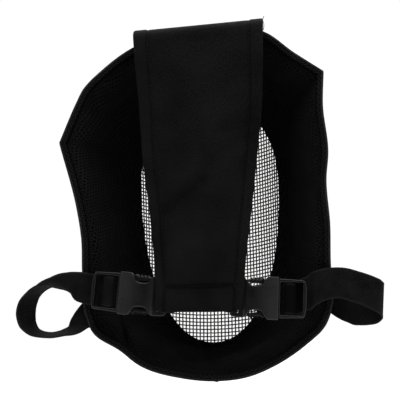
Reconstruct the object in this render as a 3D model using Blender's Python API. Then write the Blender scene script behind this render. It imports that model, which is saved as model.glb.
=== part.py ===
"""A soft-shelled practice mask with a wire-mesh window, held up as a head holds it.

Lengths are metres and +Z is up. The wearer looks along +Y, so the open back with
its flap and buckles faces -Y. Shapes are worked out in mask coordinates, whose
Y = 0 is the plane of the open rim, and the whole mask then hangs from an empty
that puts the origin on the crown seat, where the lining rests on the head.
"""

from collections import namedtuple
from math import atan2, ceil, cos, hypot, pi, radians, sin

import bmesh
import bpy
from mathutils import Vector
from mathutils.bvhtree import BVHTree

MM = 0.001
GAP = 0.3 * MM
SHARP_EDGE = radians(40)

# ---------------------------------------------------------------- driving sizes

CROWN_SEAT = Vector((4, 45, 140.5)) * MM

COVER_THICK = 1.6 * MM
LINING_THICK = 3.5 * MM
LINING_SEWN = 2.0 * MM
LIP_THICK = 1.2 * MM
LIP_REACH = 3.0 * MM
EDGE_ROLL = 1.5 * MM
ROLL_STEPS = 4
STITCH_IN = 5.5 * MM
STATION_PITCH = 12 * MM
WALL_STEPS = 5

WINDOW_X = -0.9 * MM
WINDOW_Z = 30 * MM
WINDOW_HALF_WIDTH = 64.6 * MM
WINDOW_UP = 82 * MM
WINDOW_DOWN = 138 * MM
WINDOW_LEAN = radians(2.8)
WINDOW_SIDE_Y = 106 * MM
WINDOW_END_Y = 112 * MM
DOME_HEIGHT = 30 * MM
DOME_SHARES = (0.82, 0.6, 0.35)
MESH_THICK = 1.6 * MM
MESH_MARGIN = 8 * MM
MESH_CLEAR = 0.8 * MM
SHOULDER_SHARE = 0.55

FLAP_THICK = 2.6 * MM
FLAP_CLEAR = 0.9 * MM
FLAP_COLUMNS = 14
FLAP_PITCH = 12 * MM

WEBBING_WIDTH = 25 * MM
STRAP_THICK = 1.6 * MM
STRAP_CLEAR = 0.9 * MM
STRAP_PITCH = 4 * MM
TAB_THICK = 1.4 * MM
TAB_PITCH = 2 * MM

# The rim's outer edge, clockwise as seen from behind, in mm. A sharp section is a corner.
RimSection = namedtuple("RimSection", "name x z y sharp")
RIM = (
    RimSection("crown", 6, 155, 10, 0),
    RimSection("crown_right", 61, 148.5, 8, 0),
    RimSection("shoulder_right", 83, 129, 4, 0),
    RimSection("corner_right", 106.5, 110, 0, 1),
    RimSection("temple_right", 103.5, 82, -3, 0),
    RimSection("cheek_right", 104.5, 42, -3, 0),
    RimSection("dent_right", 101.4, 22, 0, 0),
    RimSection("side_right", 101.2, -16, 0, 0),
    RimSection("strap_right", 99, -49, 0, 0),
    RimSection("jaw_right_top", 98.7, -77, 2, 0),
    RimSection("jaw_right", 91, -97, 4, 0),
    RimSection("chin_right_3", 72.6, -112.6, 6, 0),
    RimSection("chin_right_2", 48.6, -126.3, 8, 0),
    RimSection("chin_right_1", 25, -134.4, 9, 0),
    RimSection("chin", -1.4, -136.1, 10, 0),
    RimSection("chin_left_1", -28, -132.1, 9, 0),
    RimSection("chin_left_2", -64.8, -117.9, 7, 0),
    RimSection("chin_left_3", -78.7, -105.4, 6, 0),
    RimSection("jaw_left", -100, -88.5, 4, 0),
    RimSection("jaw_left_top", -104.6, -74.7, 2, 0),
    RimSection("strap_left", -104.7, -40, 0, 0),
    RimSection("side_left", -103.5, -10.6, 0, 0),
    RimSection("cheek_left", -105.6, 13.6, 0, 0),
    RimSection("ear_left", -115.5, 68.9, -5, 1),
    RimSection("temple_left", -99.1, 102.2, -2, 0),
    RimSection("corner_left", -94.2, 111.4, 0, 0),
    RimSection("shoulder_left", -76.7, 128, 3, 0),
    RimSection("crown_left", -49.1, 146, 8, 0),
)

# The flap from its sewn end, over the rim and down. hug is how far it follows the
# shell's arch instead of running straight across, tilt is its slope in degrees.
FlapSection = namedtuple("FlapSection", "name x y z half tilt hug")
FLAP = (
    FlapSection("sewn_end", 6, 62, 152, 50, 0, 1),
    FlapSection("sewn", 6, 48, 155, 51, 0, 1),
    FlapSection("rising", 6, 28, 156.6, 52.5, 0, 0.4),
    FlapSection("rim", 6.2, 10, 157, 53.5, 0, 0),
    FlapSection("fold_top", 6.4, 0, 156.8, 54, 0.4, 0),
    FlapSection("fold_front", 6.4, -7.5, 152.5, 54, 0.6, 0),
    FlapSection("hang_1", 6, -11, 140, 53.2, 0.4, 0),
    FlapSection("hang_2", 3.6, -12, 82, 50.2, 0, 0),
    FlapSection("hang_3", 0.4, -12.4, 45, 46.8, -0.5, 0),
    FlapSection("hang_4", -2, -13, 7, 42, -1.2, 0),
    FlapSection("hang_5", -5, -13.9, -28, 38, -2, 0),
    FlapSection("hem_top", -7.4, -14.9, -54, 35.8, -2.7, 0),
    FlapSection("hem_bottom", -10.2, -15, -77.2, 35.2, -3.1, 0),
)
FLAP_SAG = 1.5 * MM
FLAP_RESTS_FROM_Y = 4 * MM
LEAST_FACING = 0.5

# Side-release buckles, in their own frame: u runs from the closed joint towards
# the strap, h is up and d is towards the camera.
BuckleSeat = namedtuple("BuckleSeat", "x y z side slope")
BUCKLES = {
    "left": BuckleSeat(-74.2, -9, -57.9, -1, radians(-10.3)),
    "right": BuckleSeat(54.9, -9, -72.8, 1, radians(-6.2)),
}

BoxSection = namedtuple("BoxSection", "u half_h half_d")
SOCKET = (
    BoxSection(-0.3, 17.4, 5.0),
    BoxSection(-8.5, 17.4, 5.0),
    BoxSection(-11.0, 14.6, 5.0),
    BoxSection(-14.5, 10.0, 5.0),
    BoxSection(-21.5, 9.6, 5.0),
    BoxSection(-25.5, 12.4, 4.6),
    BoxSection(-27.5, 15.5, 4.0),
    BoxSection(-34.8, 15.5, 1.9),
    BoxSection(-39.2, 14.4, 1.4),
)
FRAME = (
    BoxSection(0.0, 16.0, 3.4),
    BoxSection(1.7, 16.0, 3.4),
    BoxSection(4.0, 15.8, 3.1),
    BoxSection(20.0, 14.9, 3.0),
    BoxSection(22.2, 14.2, 2.8),
    BoxSection(23.2, 12.6, 2.4),
)
Box = namedtuple("Box", "u0 u1 half_h d0 d1")
SOCKET_CAVITY = Box(-27.0, 2.0, 15.2, -2.9, 2.9)
SOCKET_SLOT = Box(-36.2, -31.0, 13.2, -8.0, 8.0)
FRAME_WINDOW = Box(2.4, 19.4, 13.1, -8.0, 8.0)
FRAME_BAR = Box(7.0, 10.4, 14.0, -2.6, -0.2)
PRONG_GUIDE = Box(-20.0, 1.2, 2.2, -2.0, 2.0)
PRONG_HALF_THICK = 2.6
EDGE_BEVEL = 0.7 * MM

# One prong's outline, root to tip and back along its ribbed outer grip.
PRONG = (
    (1.2, 9.4), (-21.0, 10.4), (-26.0, 12.0), (-26.2, 13.2), (-24.5, 15.6),
    (-20.0, 16.6), (-13.6, 16.8), (-11.6, 16.0), (-11.2, 14.6), (1.2, 14.4),
)

# A webbing path in the buckle's frame: along u, out in d, and its lift in h.
PathSection = namedtuple("PathSection", "u d lift")
TAB_PATH = (
    PathSection(-58, 1.7, 3.6),
    PathSection(-48, 2.0, 2.4),
    PathSection(-42, 2.8, 1.2),
    PathSection(-37.4, 3.1, 0),
    PathSection(-34.4, 2.2, 0),
    PathSection(-33.4, 0, 0),
    PathSection(-34.4, -2.2, 0),
    PathSection(-37.4, -3.1, 0),
    PathSection(-42, -2.3, 1.2),
    PathSection(-48, -0.5, 2.4),
    PathSection(-58, -0.5, 3.6),
)
# The strap's sewn-back tail, up and over the ladder bar, and out under the frame.
LADDER_PATH = (
    PathSection(19.5, -7.0, 0),
    PathSection(13.0, -6.6, 0),
    PathSection(7.0, -5.6, 0),
    PathSection(4.3, -3.4, 0),
    PathSection(5.2, 0.5, 0),
    PathSection(8.7, 1.6, 0),
    PathSection(12.2, 0.5, 0),
    PathSection(15.0, -3.0, 0),
    PathSection(19.0, -4.5, 0),
    PathSection(24.0, -4.6, 0),
)

# Each strap's loop in mask coordinates, mm: its middle line, and the direction
# across it, from its far or lower edge to its near or upper one.
StrapSection = namedtuple("StrapSection", "name x y z wx wy wz")
LOOPS = {
    "left": (
        StrapSection("over_rim", -106, -7.4, -50.5, 0.15, -0.25, 0.95),
        StrapSection("leaving", -115, -6.4, -47.2, 0.05, -0.72, 0.66),
        StrapSection("narrowing", -125.5, -3.5, -46.6, 0, -0.92, 0.38),
        StrapSection("on_edge", -136.5, 0, -47.8, 0, -0.99, 0.14),
        StrapSection("turning", -145.4, 4, -52, -0.22, -0.96, 0.12),
        StrapSection("outer_top", -151.8, 6, -59, -0.46, -0.89, 0),
        StrapSection("outermost", -155, 8, -68.2, -0.48, -0.88, 0),
        StrapSection("outer_low", -154.2, 9, -77, -0.42, -0.91, -0.04),
        StrapSection("bottom_turn", -149.6, 10, -83.8, -0.23, -0.96, -0.1),
        StrapSection("bottom", -138, 12, -88, 0, -0.99, -0.14),
        StrapSection("returning", -126, 15, -87.2, 0, -0.97, -0.2),
        StrapSection("widening", -117, 18.5, -85, 0, -0.93, -0.36),
        StrapSection("behind_rim", -111.5, 24, -80.5, -0.05, -0.8, -0.6),
    ),
    "right": (
        StrapSection("leaving", 84, -6.6, -69.2, 0.03, 0, 1),
        StrapSection("over_rim", 96, -7, -64.8, 0.06, 0, 1),
        StrapSection("arch", 105, -7.2, -64.3, 0.12, 0, 0.99),
        StrapSection("falling", 117, -7, -68, 0.22, 0, 0.97),
        StrapSection("nearing_fold", 127.5, -6.4, -72.6, 0.24, 0.02, 0.97),
        StrapSection("fold_front", 135, -3.4, -77, 0.2, 0.03, 0.98),
        StrapSection("fold", 138.2, 3, -80.6, 0.12, 0, 0.99),
        StrapSection("fold_back", 134.6, 9.4, -84.4, 0.08, 0, 1),
        StrapSection("returning", 126.5, 12.4, -87.2, 0, 0, 1),
        StrapSection("rising", 116.5, 14, -86.2, -0.1, 0, 1),
        StrapSection("behind_rim", 108, 17.5, -82.4, -0.1, 0, 1),
    ),
}
# Where each strap lies sewn on the outer wall: beside which rim section, and
# between which two shares of the way from the rim to the window.
Seam = namedtuple("Seam", "section share_start share_end")
STRAP_SEAMS = {
    "left": Seam("jaw_left_top", 0.34, 0.54),
    "right": Seam("jaw_right_top", 0.3, 0.5),
}

# ---------------------------------------------------------------- scene and materials


def clear_scene():
    for obj in list(bpy.data.objects):
        bpy.data.objects.remove(obj)


def material(name, grey, roughness, metallic=0.0):
    made = bpy.data.materials.new(name)
    made.use_nodes = True
    shader = made.node_tree.nodes["Principled BSDF"]
    shader.inputs["Base Color"].default_value = (grey, grey, grey, 1.0)
    shader.inputs["Roughness"].default_value = roughness
    shader.inputs["Metallic"].default_value = metallic
    return made


def add_object(name, points, faces, finish):
    mesh = bpy.data.meshes.new(name)
    mesh.from_pydata([tuple(p) for p in points], [], faces)
    mesh.materials.append(finish)
    fix = bmesh.new()
    fix.from_mesh(mesh)
    bmesh.ops.recalc_face_normals(fix, faces=fix.faces)
    fix.to_mesh(mesh)
    fix.free()
    mesh.shade_smooth()
    mesh.set_sharp_from_angle(angle=SHARP_EDGE)
    obj = bpy.data.objects.new(name, mesh)
    bpy.context.collection.objects.link(obj)
    return obj


# ---------------------------------------------------------------- smooth curves


def hermite(p0, p1, m0, m1, t):
    """The point at t from p0 to p1, leaving along m0 and arriving along m1."""
    t2 = t * t
    t3 = t2 * t
    return p0 * (2 * t3 - 3 * t2 + 1) + m0 * (t3 - 2 * t2 + t) + p1 * (3 * t2 - 2 * t3) + m1 * (t3 - t2)


def knot_slope(before, here, after):
    """A slope at here that leans on the nearer neighbour, per unit length."""
    back = (here - before).length
    ahead = (after - here).length
    return ((here - before) / back * ahead + (after - here) / ahead * back) / (back + ahead)


def smooth_path(knots, pitch):
    """Vectors along a smooth open curve through the knots, with the knots' own shares.

    Gives a list of (point, place), where place is a knot number with its fraction.
    """
    slopes = [(knots[1] - knots[0]).normalized()]
    for before, here, after in zip(knots, knots[1:], knots[2:]):
        slopes.append(knot_slope(before, here, after))
    slopes.append((knots[-1] - knots[-2]).normalized())
    path = []
    for number in range(len(knots) - 1):
        start, end = knots[number], knots[number + 1]
        length = (end - start).length
        steps = max(1, ceil(length / pitch))
        for step in range(steps):
            t = step / steps
            point = hermite(start, end, slopes[number] * length, slopes[number + 1] * length, t)
            path.append((point, number + t))
    path.append((knots[-1], len(knots) - 1.0))
    return path


def between(values, place):
    """A table column's value at a place between two of its rows."""
    number = min(int(place), len(values) - 2)
    t = place - number
    return values[number] * (1 - t) + values[number + 1] * t


# ---------------------------------------------------------------- the shell's wall


def rim_at(place):
    """The rim's outer edge at a place, a row number of RIM with its fraction."""
    count = len(RIM)
    number = int(place) % count
    t = place - int(place)
    rows = [RIM[(number + step) % count] for step in (-1, 0, 1, 2)]
    knots = [Vector((row.x, row.y, row.z)) * MM for row in rows]
    length = (knots[2] - knots[1]).length
    straight = (knots[2] - knots[1]).normalized()
    leave = straight if rows[1].sharp else knot_slope(*knots[:3])
    arrive = straight if rows[2].sharp else knot_slope(*knots[1:])
    return hermite(knots[1], knots[2], leave * length, arrive * length, t)


def window_radius(x, z):
    """The window's reach from its centre in the direction of (x, z)."""
    angle = atan2(x, z) - WINDOW_LEAN
    reach = WINDOW_UP if cos(angle) > 0 else WINDOW_DOWN
    return 1 / hypot(sin(angle) / WINDOW_HALF_WIDTH, cos(angle) / reach)


def dome_point(x, z):
    """The outer face of window and dome at (x, z) from the window's centre."""
    reach = window_radius(x, z) if hypot(x, z) > 0 else 1.0
    share = hypot(x, z) / reach
    ends = (z / hypot(x, z)) ** 2 if share > 0 else 0.0
    edge = WINDOW_SIDE_Y + (WINDOW_END_Y - WINDOW_SIDE_Y) * ends * share**2
    return Vector((WINDOW_X + x, edge + DOME_HEIGHT * (1 - share**2), WINDOW_Z + z))


def wall_curve(place):
    """Rim, shoulder and window points that bend the wall at a place on the rim."""
    rim = rim_at(place)
    x, z = rim.x - WINDOW_X, rim.z - WINDOW_Z
    reach = window_radius(x, z)
    spread = hypot(x, z)
    window = dome_point(x / spread * reach, z / spread * reach)
    out = SHOULDER_SHARE * (spread - reach)
    ends = (z / spread) ** 2
    drop = out * 2 * (DOME_HEIGHT - (WINDOW_END_Y - WINDOW_SIDE_Y) * ends) / reach
    shoulder = window + Vector((x / spread * out, -drop, z / spread * out))
    return rim, shoulder, window


def wall_point(place, share):
    """The cover's outer face, share of the way from the rim to the window."""
    rim, shoulder, window = wall_curve(place)
    return rim * (1 - share) ** 2 + shoulder * (2 * share * (1 - share)) + window * share**2


def wall_frame(place, share):
    """The outer face's point, its outward normal, and the directions along rim and wall."""
    step = 0.005
    here = wall_point(place, share)
    around = wall_point(place + step, share) - wall_point(place - step, share)
    low, high = max(0.0, share - step), min(1.0, share + step)
    inward = wall_point(place, high) - wall_point(place, low)
    normal = around.cross(inward).normalized()
    centre = Vector((WINDOW_X, here.y, WINDOW_Z))
    if normal.dot(here - centre) < 0:
        normal.negate()
    return here, normal, around.normalized(), inward.normalized()


def stations():
    """Places round the rim, each row of RIM among them, about a pitch apart."""
    places = []
    for number in range(len(RIM)):
        length = (rim_at(number + 0.999) - rim_at(number)).length
        steps = max(1, round(length / STATION_PITCH))
        places += [number + step / steps for step in range(steps)]
    return places


def near_rim(place, distance):
    rim, shoulder, _ = wall_curve(place)
    return distance / (2 * (shoulder - rim).length)


def near_window(place, distance):
    _, shoulder, window = wall_curve(place)
    return 1 - distance / (2 * (window - shoulder).length)


def wall_shares(place, first):
    """Shares of the wall from a first distance in, past the stitch line to the window."""
    start = near_rim(place, STITCH_IN)
    end = near_window(place, MESH_MARGIN * 1.9)
    middle = [start + (end - start) * step / WALL_STEPS for step in range(1, WALL_STEPS)]
    last = [end, near_window(place, MESH_MARGIN), 1.0]
    return [near_rim(place, first), start, *middle, *last]


def offset(place, share, depth, beyond=0.0):
    """A point depth inside the outer face, and beyond the rim by that much."""
    point, normal, _, inward = wall_frame(place, share)
    return point - normal * depth - inward * beyond


def ring_solid(name, rings, finish):
    """A closed solid swept round the mask: each ring is one station's cross-section."""
    size = len(rings[0])
    points = [point for ring in rings for point in ring]
    faces = []
    for number in range(len(rings)):
        after = (number + 1) % len(rings)
        for corner in range(size):
            turn = (corner + 1) % size
            a, b = number * size + corner, number * size + turn
            c, d = after * size + turn, after * size + corner
            faces.append((a, b, c, d))
    return add_object(name, points, faces, finish)


def make_cover(finish):
    """The outer wall, with its edge rolled over the rim and turned in as a lip."""
    depth = COVER_THICK + GAP + LINING_SEWN + GAP + LIP_THICK
    rings = []
    for place in stations():
        outer = [offset(place, share, 0) for share in reversed(wall_shares(place, LIP_REACH))]
        edge = []
        for step in range(ROLL_STEPS + 1):
            turn = pi * step / ROLL_STEPS
            edge.append(offset(place, 0, depth * (1 - cos(turn)) / 2, EDGE_ROLL * sin(turn)))
        reach = near_rim(place, LIP_REACH)
        under = near_rim(place, GAP)
        lip = [
            offset(place, reach, depth),
            offset(place, reach, depth - LIP_THICK),
            offset(place, under, depth - LIP_THICK),
            offset(place, under, COVER_THICK),
        ]
        inner = [offset(place, share, COVER_THICK) for share in wall_shares(place, LIP_REACH)[1:]]
        rings.append(outer + edge + lip + inner)
    return ring_solid("shell_cover", rings, finish)


def make_lining(finish):
    """The padded inner wall, thin where it is sewn at the rim and over the mesh's margin."""
    beside = COVER_THICK + GAP
    over_mesh = beside + MESH_THICK + MESH_CLEAR
    rings = []
    for place in stations():
        shares = wall_shares(place, 2 * GAP)
        outer_depths = [beside] * (len(shares) - 3) + [beside, over_mesh, over_mesh]
        thick = [LINING_SEWN, LINING_SEWN] + [LINING_THICK] * (len(shares) - 4) + [LINING_SEWN] * 2
        outer = [offset(place, s, d) for s, d in zip(shares, outer_depths)]
        inner = [offset(place, s, d + t) for s, d, t in zip(shares, outer_depths, thick)]
        rings.append(outer + inner[::-1])
    return ring_solid("shell_lining", rings, finish)


def make_visor(finish):
    """The domed mesh as one thin plate, its margin held between cover and lining."""
    places = stations()
    outer_depth = COVER_THICK + GAP
    inner_depth = outer_depth + MESH_THICK
    columns = []
    for place in places:
        margin = near_window(place, MESH_MARGIN)
        outer = [offset(place, margin, outer_depth), offset(place, 1.0, outer_depth)]
        inner = [offset(place, margin, inner_depth), offset(place, 1.0, inner_depth)]
        _, _, window = wall_curve(place)
        x, z = window.x - WINDOW_X, window.z - WINDOW_Z
        for share in DOME_SHARES:
            outer.append(dome_offset(x * share, z * share, outer_depth))
            inner.append(dome_offset(x * share, z * share, inner_depth))
        columns.append((outer, inner))
    size = 2 + len(DOME_SHARES)
    points = []
    for outer, inner in columns:
        points += outer + inner
    points.append(dome_offset(0, 0, outer_depth))
    points.append(dome_offset(0, 0, inner_depth))
    top_out, top_in = len(points) - 2, len(points) - 1
    faces = []
    for number in range(len(places)):
        a = number * 2 * size
        b = (number + 1) % len(places) * 2 * size
        for row in range(size - 1):
            faces.append((a + row, a + row + 1, b + row + 1, b + row))
            faces.append((a + size + row + 1, a + size + row, b + size + row, b + size + row + 1))
        faces.append((a + size - 1, top_out, b + size - 1))
        faces.append((a + 2 * size - 1, b + 2 * size - 1, top_in))
        faces.append((a, b, b + size, a + size))
    return add_object("mesh_visor", points, faces, finish)


def dome_offset(x, z, depth):
    """A point depth behind the dome's outer face."""
    step = 0.5 * MM
    across = dome_point(x + step, z) - dome_point(x - step, z)
    up = dome_point(x, z + step) - dome_point(x, z - step)
    normal = up.cross(across).normalized()
    if normal.y < 0:
        normal.negate()
    return dome_point(x, z) - normal * depth


# ---------------------------------------------------------------- sheets and webbing


def sheet_solid(name, grid, thick, finish):
    """A closed sheet: the grid's middle surface given its thickness both ways."""
    rows, columns = len(grid), len(grid[0])
    points = []
    for side in (0.5, -0.5):
        for r in range(rows):
            for c in range(columns):
                along = grid[min(r + 1, rows - 1)][c] - grid[max(r - 1, 0)][c]
                across = grid[r][min(c + 1, columns - 1)] - grid[r][max(c - 1, 0)]
                normal = along.cross(across).normalized()
                points.append(grid[r][c] + normal * thick * side)
    back = rows * columns
    faces = []
    for r in range(rows - 1):
        for c in range(columns - 1):
            a = r * columns + c
            faces.append((a, a + 1, a + columns + 1, a + columns))
            faces.append((back + a, back + a + columns, back + a + columns + 1, back + a + 1))
    border = [(0, c) for c in range(columns)]
    border += [(r, columns - 1) for r in range(1, rows)]
    border += [(rows - 1, c) for c in range(columns - 2, -1, -1)]
    border += [(r, 0) for r in range(rows - 2, 0, -1)]
    for (r0, c0), (r1, c1) in zip(border, border[1:] + border[:1]):
        a, b = r0 * columns + c0, r1 * columns + c1
        faces.append((a, b, back + b, back + a))
    return add_object(name, points, faces, finish)


def make_flap(cover, finish):
    """The flap: over the cover's arch, round the rim and down across the opening."""
    shell = BVHTree.FromPolygons(
        [vertex.co for vertex in cover.data.vertices],
        [face.vertices for face in cover.data.polygons],
    )
    knots = [Vector((row.x, row.y, row.z)) * MM for row in FLAP]
    halves = [row.half * MM for row in FLAP]
    tilts = [radians(row.tilt) for row in FLAP]
    hugs = [row.hug for row in FLAP]
    grid = []
    for centre, place in smooth_path(knots, FLAP_PITCH):
        half, tilt, hug = (between(column, place) for column in (halves, tilts, hugs))
        low = max(0.0, place - (len(FLAP) - 2))
        line = []
        for column in range(FLAP_COLUMNS + 1):
            a = 2 * column / FLAP_COLUMNS - 1
            point = centre + Vector((a * half * cos(tilt), 0, a * half * sin(tilt)))
            point.z -= FLAP_SAG * low * (1 - a * a)
            if centre.y > FLAP_RESTS_FROM_Y:
                hit, facing, _, _ = shell.ray_cast(point + Vector((0, 0, 1)), Vector((0, 0, -1)))
                if hit:
                    resting = hit.z + (FLAP_CLEAR + FLAP_THICK / 2) / max(facing.z, LEAST_FACING)
                    point.z = max(resting, resting * hug + point.z * (1 - hug))
            line.append(point)
        grid.append(line)
    return sheet_solid("head_flap", grid, FLAP_THICK, finish)


def ribbon_solid(name, lines, thick, finish):
    """Webbing: lines are (middle point, direction across) along its length."""
    grid = []
    for number, (point, across) in enumerate(lines):
        ahead = lines[min(number + 1, len(lines) - 1)][0]
        behind = lines[max(number - 1, 0)][0]
        along = (ahead - behind).normalized()
        side = (across - along * across.dot(along)).normalized() * WEBBING_WIDTH / 2
        grid.append([point - side, point, point + side])
    return sheet_solid(name, grid, thick, finish)


def buckle_frame(side):
    """The buckle's origin and its directions u, h and d in mask coordinates."""
    seat = BUCKLES[side]
    along = Vector((cos(seat.slope), 0, sin(seat.slope))) * seat.side
    up = Vector((-sin(seat.slope), 0, cos(seat.slope)))
    return Vector((seat.x, seat.y, seat.z)) * MM, along, up, Vector((0, -1, 0))


def in_buckle(side, u, h, d):
    """A point given in mm in the buckle's frame, in mask coordinates."""
    origin, along, up, out = buckle_frame(side)
    return origin + (along * u + up * h + out * d) * MM


def make_tab(side, finish):
    knots = [in_buckle(side, row.u, row.lift, row.d) for row in TAB_PATH]
    _, _, up, _ = buckle_frame(side)
    lines = [(point, up) for point, _ in smooth_path(knots, TAB_PITCH)]
    return ribbon_solid(f"flap_tab_{side}", lines, TAB_THICK, finish)


def make_strap(side, finish):
    """One strap: tail, ladder bar, out over the rim, round its loop and onto the wall."""
    _, _, up, _ = buckle_frame(side)
    knots = [in_buckle(side, row.u, row.lift, row.d) for row in LADDER_PATH]
    across = [up] * len(knots)
    for row in LOOPS[side]:
        knots.append(Vector((row.x, row.y, row.z)) * MM)
        across.append(Vector((row.wx, row.wy, row.wz)).normalized())
    seam = STRAP_SEAMS[side]
    place = next(number for number, row in enumerate(RIM) if row.name == seam.section)
    for part in (0, 0.5, 1):
        share = seam.share_start + (seam.share_end - seam.share_start) * part
        point, normal, around, _ = wall_frame(place, share)
        knots.append(point + normal * (STRAP_CLEAR + STRAP_THICK / 2))
        across.append(around * -1)
    lines = []
    for point, place in smooth_path(knots, STRAP_PITCH):
        lines.append((point, between(across, place)))
    return ribbon_solid(f"strap_{side}", lines, STRAP_THICK, finish)


# ---------------------------------------------------------------- buckles


def box_loft(name, side, sections, finish):
    """A body whose cross-sections are rectangles along u."""
    points = []
    for row in sections:
        for h, d in ((-1, -1), (1, -1), (1, 1), (-1, 1)):
            points.append(in_buckle(side, row.u, h * row.half_h, d * row.half_d))
    faces = [(3, 2, 1, 0)]
    for number in range(len(sections) - 1):
        for corner in range(4):
            a, b = number * 4 + corner, number * 4 + (corner + 1) % 4
            faces.append((a, b, b + 4, a + 4))
    last = 4 * (len(sections) - 1)
    faces.append((last, last + 1, last + 2, last + 3))
    obj = add_object(name, points, faces, finish)
    bevel = obj.modifiers.new("edge_round", "BEVEL")
    bevel.width = EDGE_BEVEL
    bevel.segments = 2
    bevel.limit_method = "ANGLE"
    bevel.angle_limit = SHARP_EDGE
    return obj


def helper(obj):
    obj.hide_render = True
    obj.display_type = "WIRE"
    return obj


def box_helper(name, side, box, finish):
    rows = []
    for u in (box.u0, box.u1):
        for h, d in ((-1, box.d0), (1, box.d0), (1, box.d1), (-1, box.d1)):
            rows.append(in_buckle(side, u, h * box.half_h, d))
    faces = [(0, 1, 2, 3), (7, 6, 5, 4)]
    faces += [(c, (c + 1) % 4, 4 + (c + 1) % 4, 4 + c) for c in range(4)]
    return helper(add_object(name, rows, faces, finish))


def prong_helper(name, side, mirror, finish):
    points = []
    for d in (-PRONG_HALF_THICK, PRONG_HALF_THICK):
        points += [in_buckle(side, u, h * mirror, d) for u, h in PRONG]
    count = len(PRONG)
    faces = [tuple(range(count)), tuple(range(2 * count - 1, count - 1, -1))]
    for number in range(count):
        after = (number + 1) % count
        faces.append((number, after, count + after, count + number))
    return helper(add_object(name, points, faces, finish))


def join(obj, other, operation):
    boolean = obj.modifiers.new(other.name, "BOOLEAN")
    boolean.operation = operation
    boolean.object = other


def make_socket(side, finish):
    """The female half: two plates with a cavity between, waisted for the grips."""
    body = box_loft(f"buckle_socket_{side}", side, SOCKET, finish)
    join(body, box_helper(f"socket_cavity_{side}", side, SOCKET_CAVITY, finish), "DIFFERENCE")
    join(body, box_helper(f"socket_slot_{side}", side, SOCKET_SLOT, finish), "DIFFERENCE")
    return body


def make_latch(side, finish):
    """The male half: a ladder frame outside, two prongs and a guide in the socket."""
    body = box_loft(f"buckle_latch_{side}", side, FRAME, finish)
    join(body, box_helper(f"frame_window_{side}", side, FRAME_WINDOW, finish), "DIFFERENCE")
    join(body, box_helper(f"frame_bar_{side}", side, FRAME_BAR, finish), "UNION")
    join(body, box_helper(f"prong_guide_{side}", side, PRONG_GUIDE, finish), "UNION")
    for mirror, place in ((1, "upper"), (-1, "lower")):
        join(body, prong_helper(f"prong_{place}_{side}", side, mirror, finish), "UNION")
    return body


# ---------------------------------------------------------------- the mask


def make_mask():
    clear_scene()
    woven_nylon = material("woven_nylon", 0.012, 0.75)
    spacer_mesh = material("spacer_mesh_knit", 0.006, 0.85)
    painted_steel = material("painted_steel_wire", 0.01, 0.4, 0.6)
    elastic = material("elastic_webbing", 0.014, 0.8)
    acetal = material("moulded_acetal", 0.018, 0.35)

    cover = make_cover(woven_nylon)
    pieces = [
        cover,
        make_lining(spacer_mesh),
        make_visor(painted_steel),
        make_flap(cover, woven_nylon),
    ]
    for side in BUCKLES:
        pieces.append(make_tab(side, elastic))
        pieces.append(make_socket(side, acetal))
        pieces.append(make_latch(side, acetal))
        pieces.append(make_strap(side, elastic))

    crown = bpy.data.objects.new("mask_frame", None)
    bpy.context.collection.objects.link(crown)
    crown.location = CROWN_SEAT * -1
    for obj in bpy.data.objects:
        if obj is not crown:
            obj.parent = crown


make_mask()
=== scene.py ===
# %% [markdown]
# # A soft practice mask with a wire-mesh window, seen from behind
# The mask is a padded fabric shell round a domed window of woven wire. A flap
# hangs over its open back, and two buckled elastic straps loop out at its sides.
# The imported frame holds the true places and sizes. This script builds the same
# forms again with the detail that the eye looks for: knit, weave, stitches,
# single wires, ribbed webbing and rounded plastic.

# %% Load the frame
from collections import namedtuple
from math import ceil, cos, pi, radians, sin, sqrt

import bpy
import numpy as np
from mathutils import Matrix, Vector
from mathutils.bvhtree import BVHTree


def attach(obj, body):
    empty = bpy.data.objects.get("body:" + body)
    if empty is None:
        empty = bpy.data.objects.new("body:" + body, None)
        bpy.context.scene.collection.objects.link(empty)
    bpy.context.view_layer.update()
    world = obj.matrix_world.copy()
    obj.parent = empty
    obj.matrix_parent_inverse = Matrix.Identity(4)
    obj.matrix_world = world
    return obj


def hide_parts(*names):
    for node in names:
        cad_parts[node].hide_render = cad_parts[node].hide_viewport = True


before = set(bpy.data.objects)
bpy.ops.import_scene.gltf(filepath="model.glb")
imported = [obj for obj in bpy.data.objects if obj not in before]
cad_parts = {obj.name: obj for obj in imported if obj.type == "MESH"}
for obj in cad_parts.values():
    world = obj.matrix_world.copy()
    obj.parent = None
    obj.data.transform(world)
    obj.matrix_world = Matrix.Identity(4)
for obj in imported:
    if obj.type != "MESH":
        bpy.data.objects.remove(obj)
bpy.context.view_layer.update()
print("frame nodes:", sorted(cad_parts))

# %% [markdown]
# ## Units and places
# Lengths are written in millimetres and turned into Blender's metres by MM. The
# shapes are worked out in mask coordinates, where Y = 0 is the plane of the open
# rim. The frame's origin is the crown seat, where the lining rests on the head,
# so every finished mesh is shifted by SEAT once, as it is made.

# %% Units, objects and tables
MM = 0.001
SEAT = np.array([4, 45, 140.5]) * MM
SEED = 7


def seat(points):
    """Mask coordinates as places in the frame."""
    return np.asarray(points) - SEAT


def new_object(name, data):
    made = bpy.data.objects.new(name, data)
    bpy.context.collection.objects.link(made)
    return made


def table(fields, *rows):
    """Rows whose columns have names."""
    return [namedtuple("Row", fields)(*row) for row in rows]


print("the crown seat lies at", SEAT, "m in mask coordinates")


# %% [markdown]
# ## Camera
# The photograph looks into the open back from a little below and a little to the
# right, and the mask leans a few degrees in it. A long lens about a metre away
# keeps the rim's near and far sides almost the same scale. The camera is turned
# about its own line of sight by the lean, so the mask itself stays upright.

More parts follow.
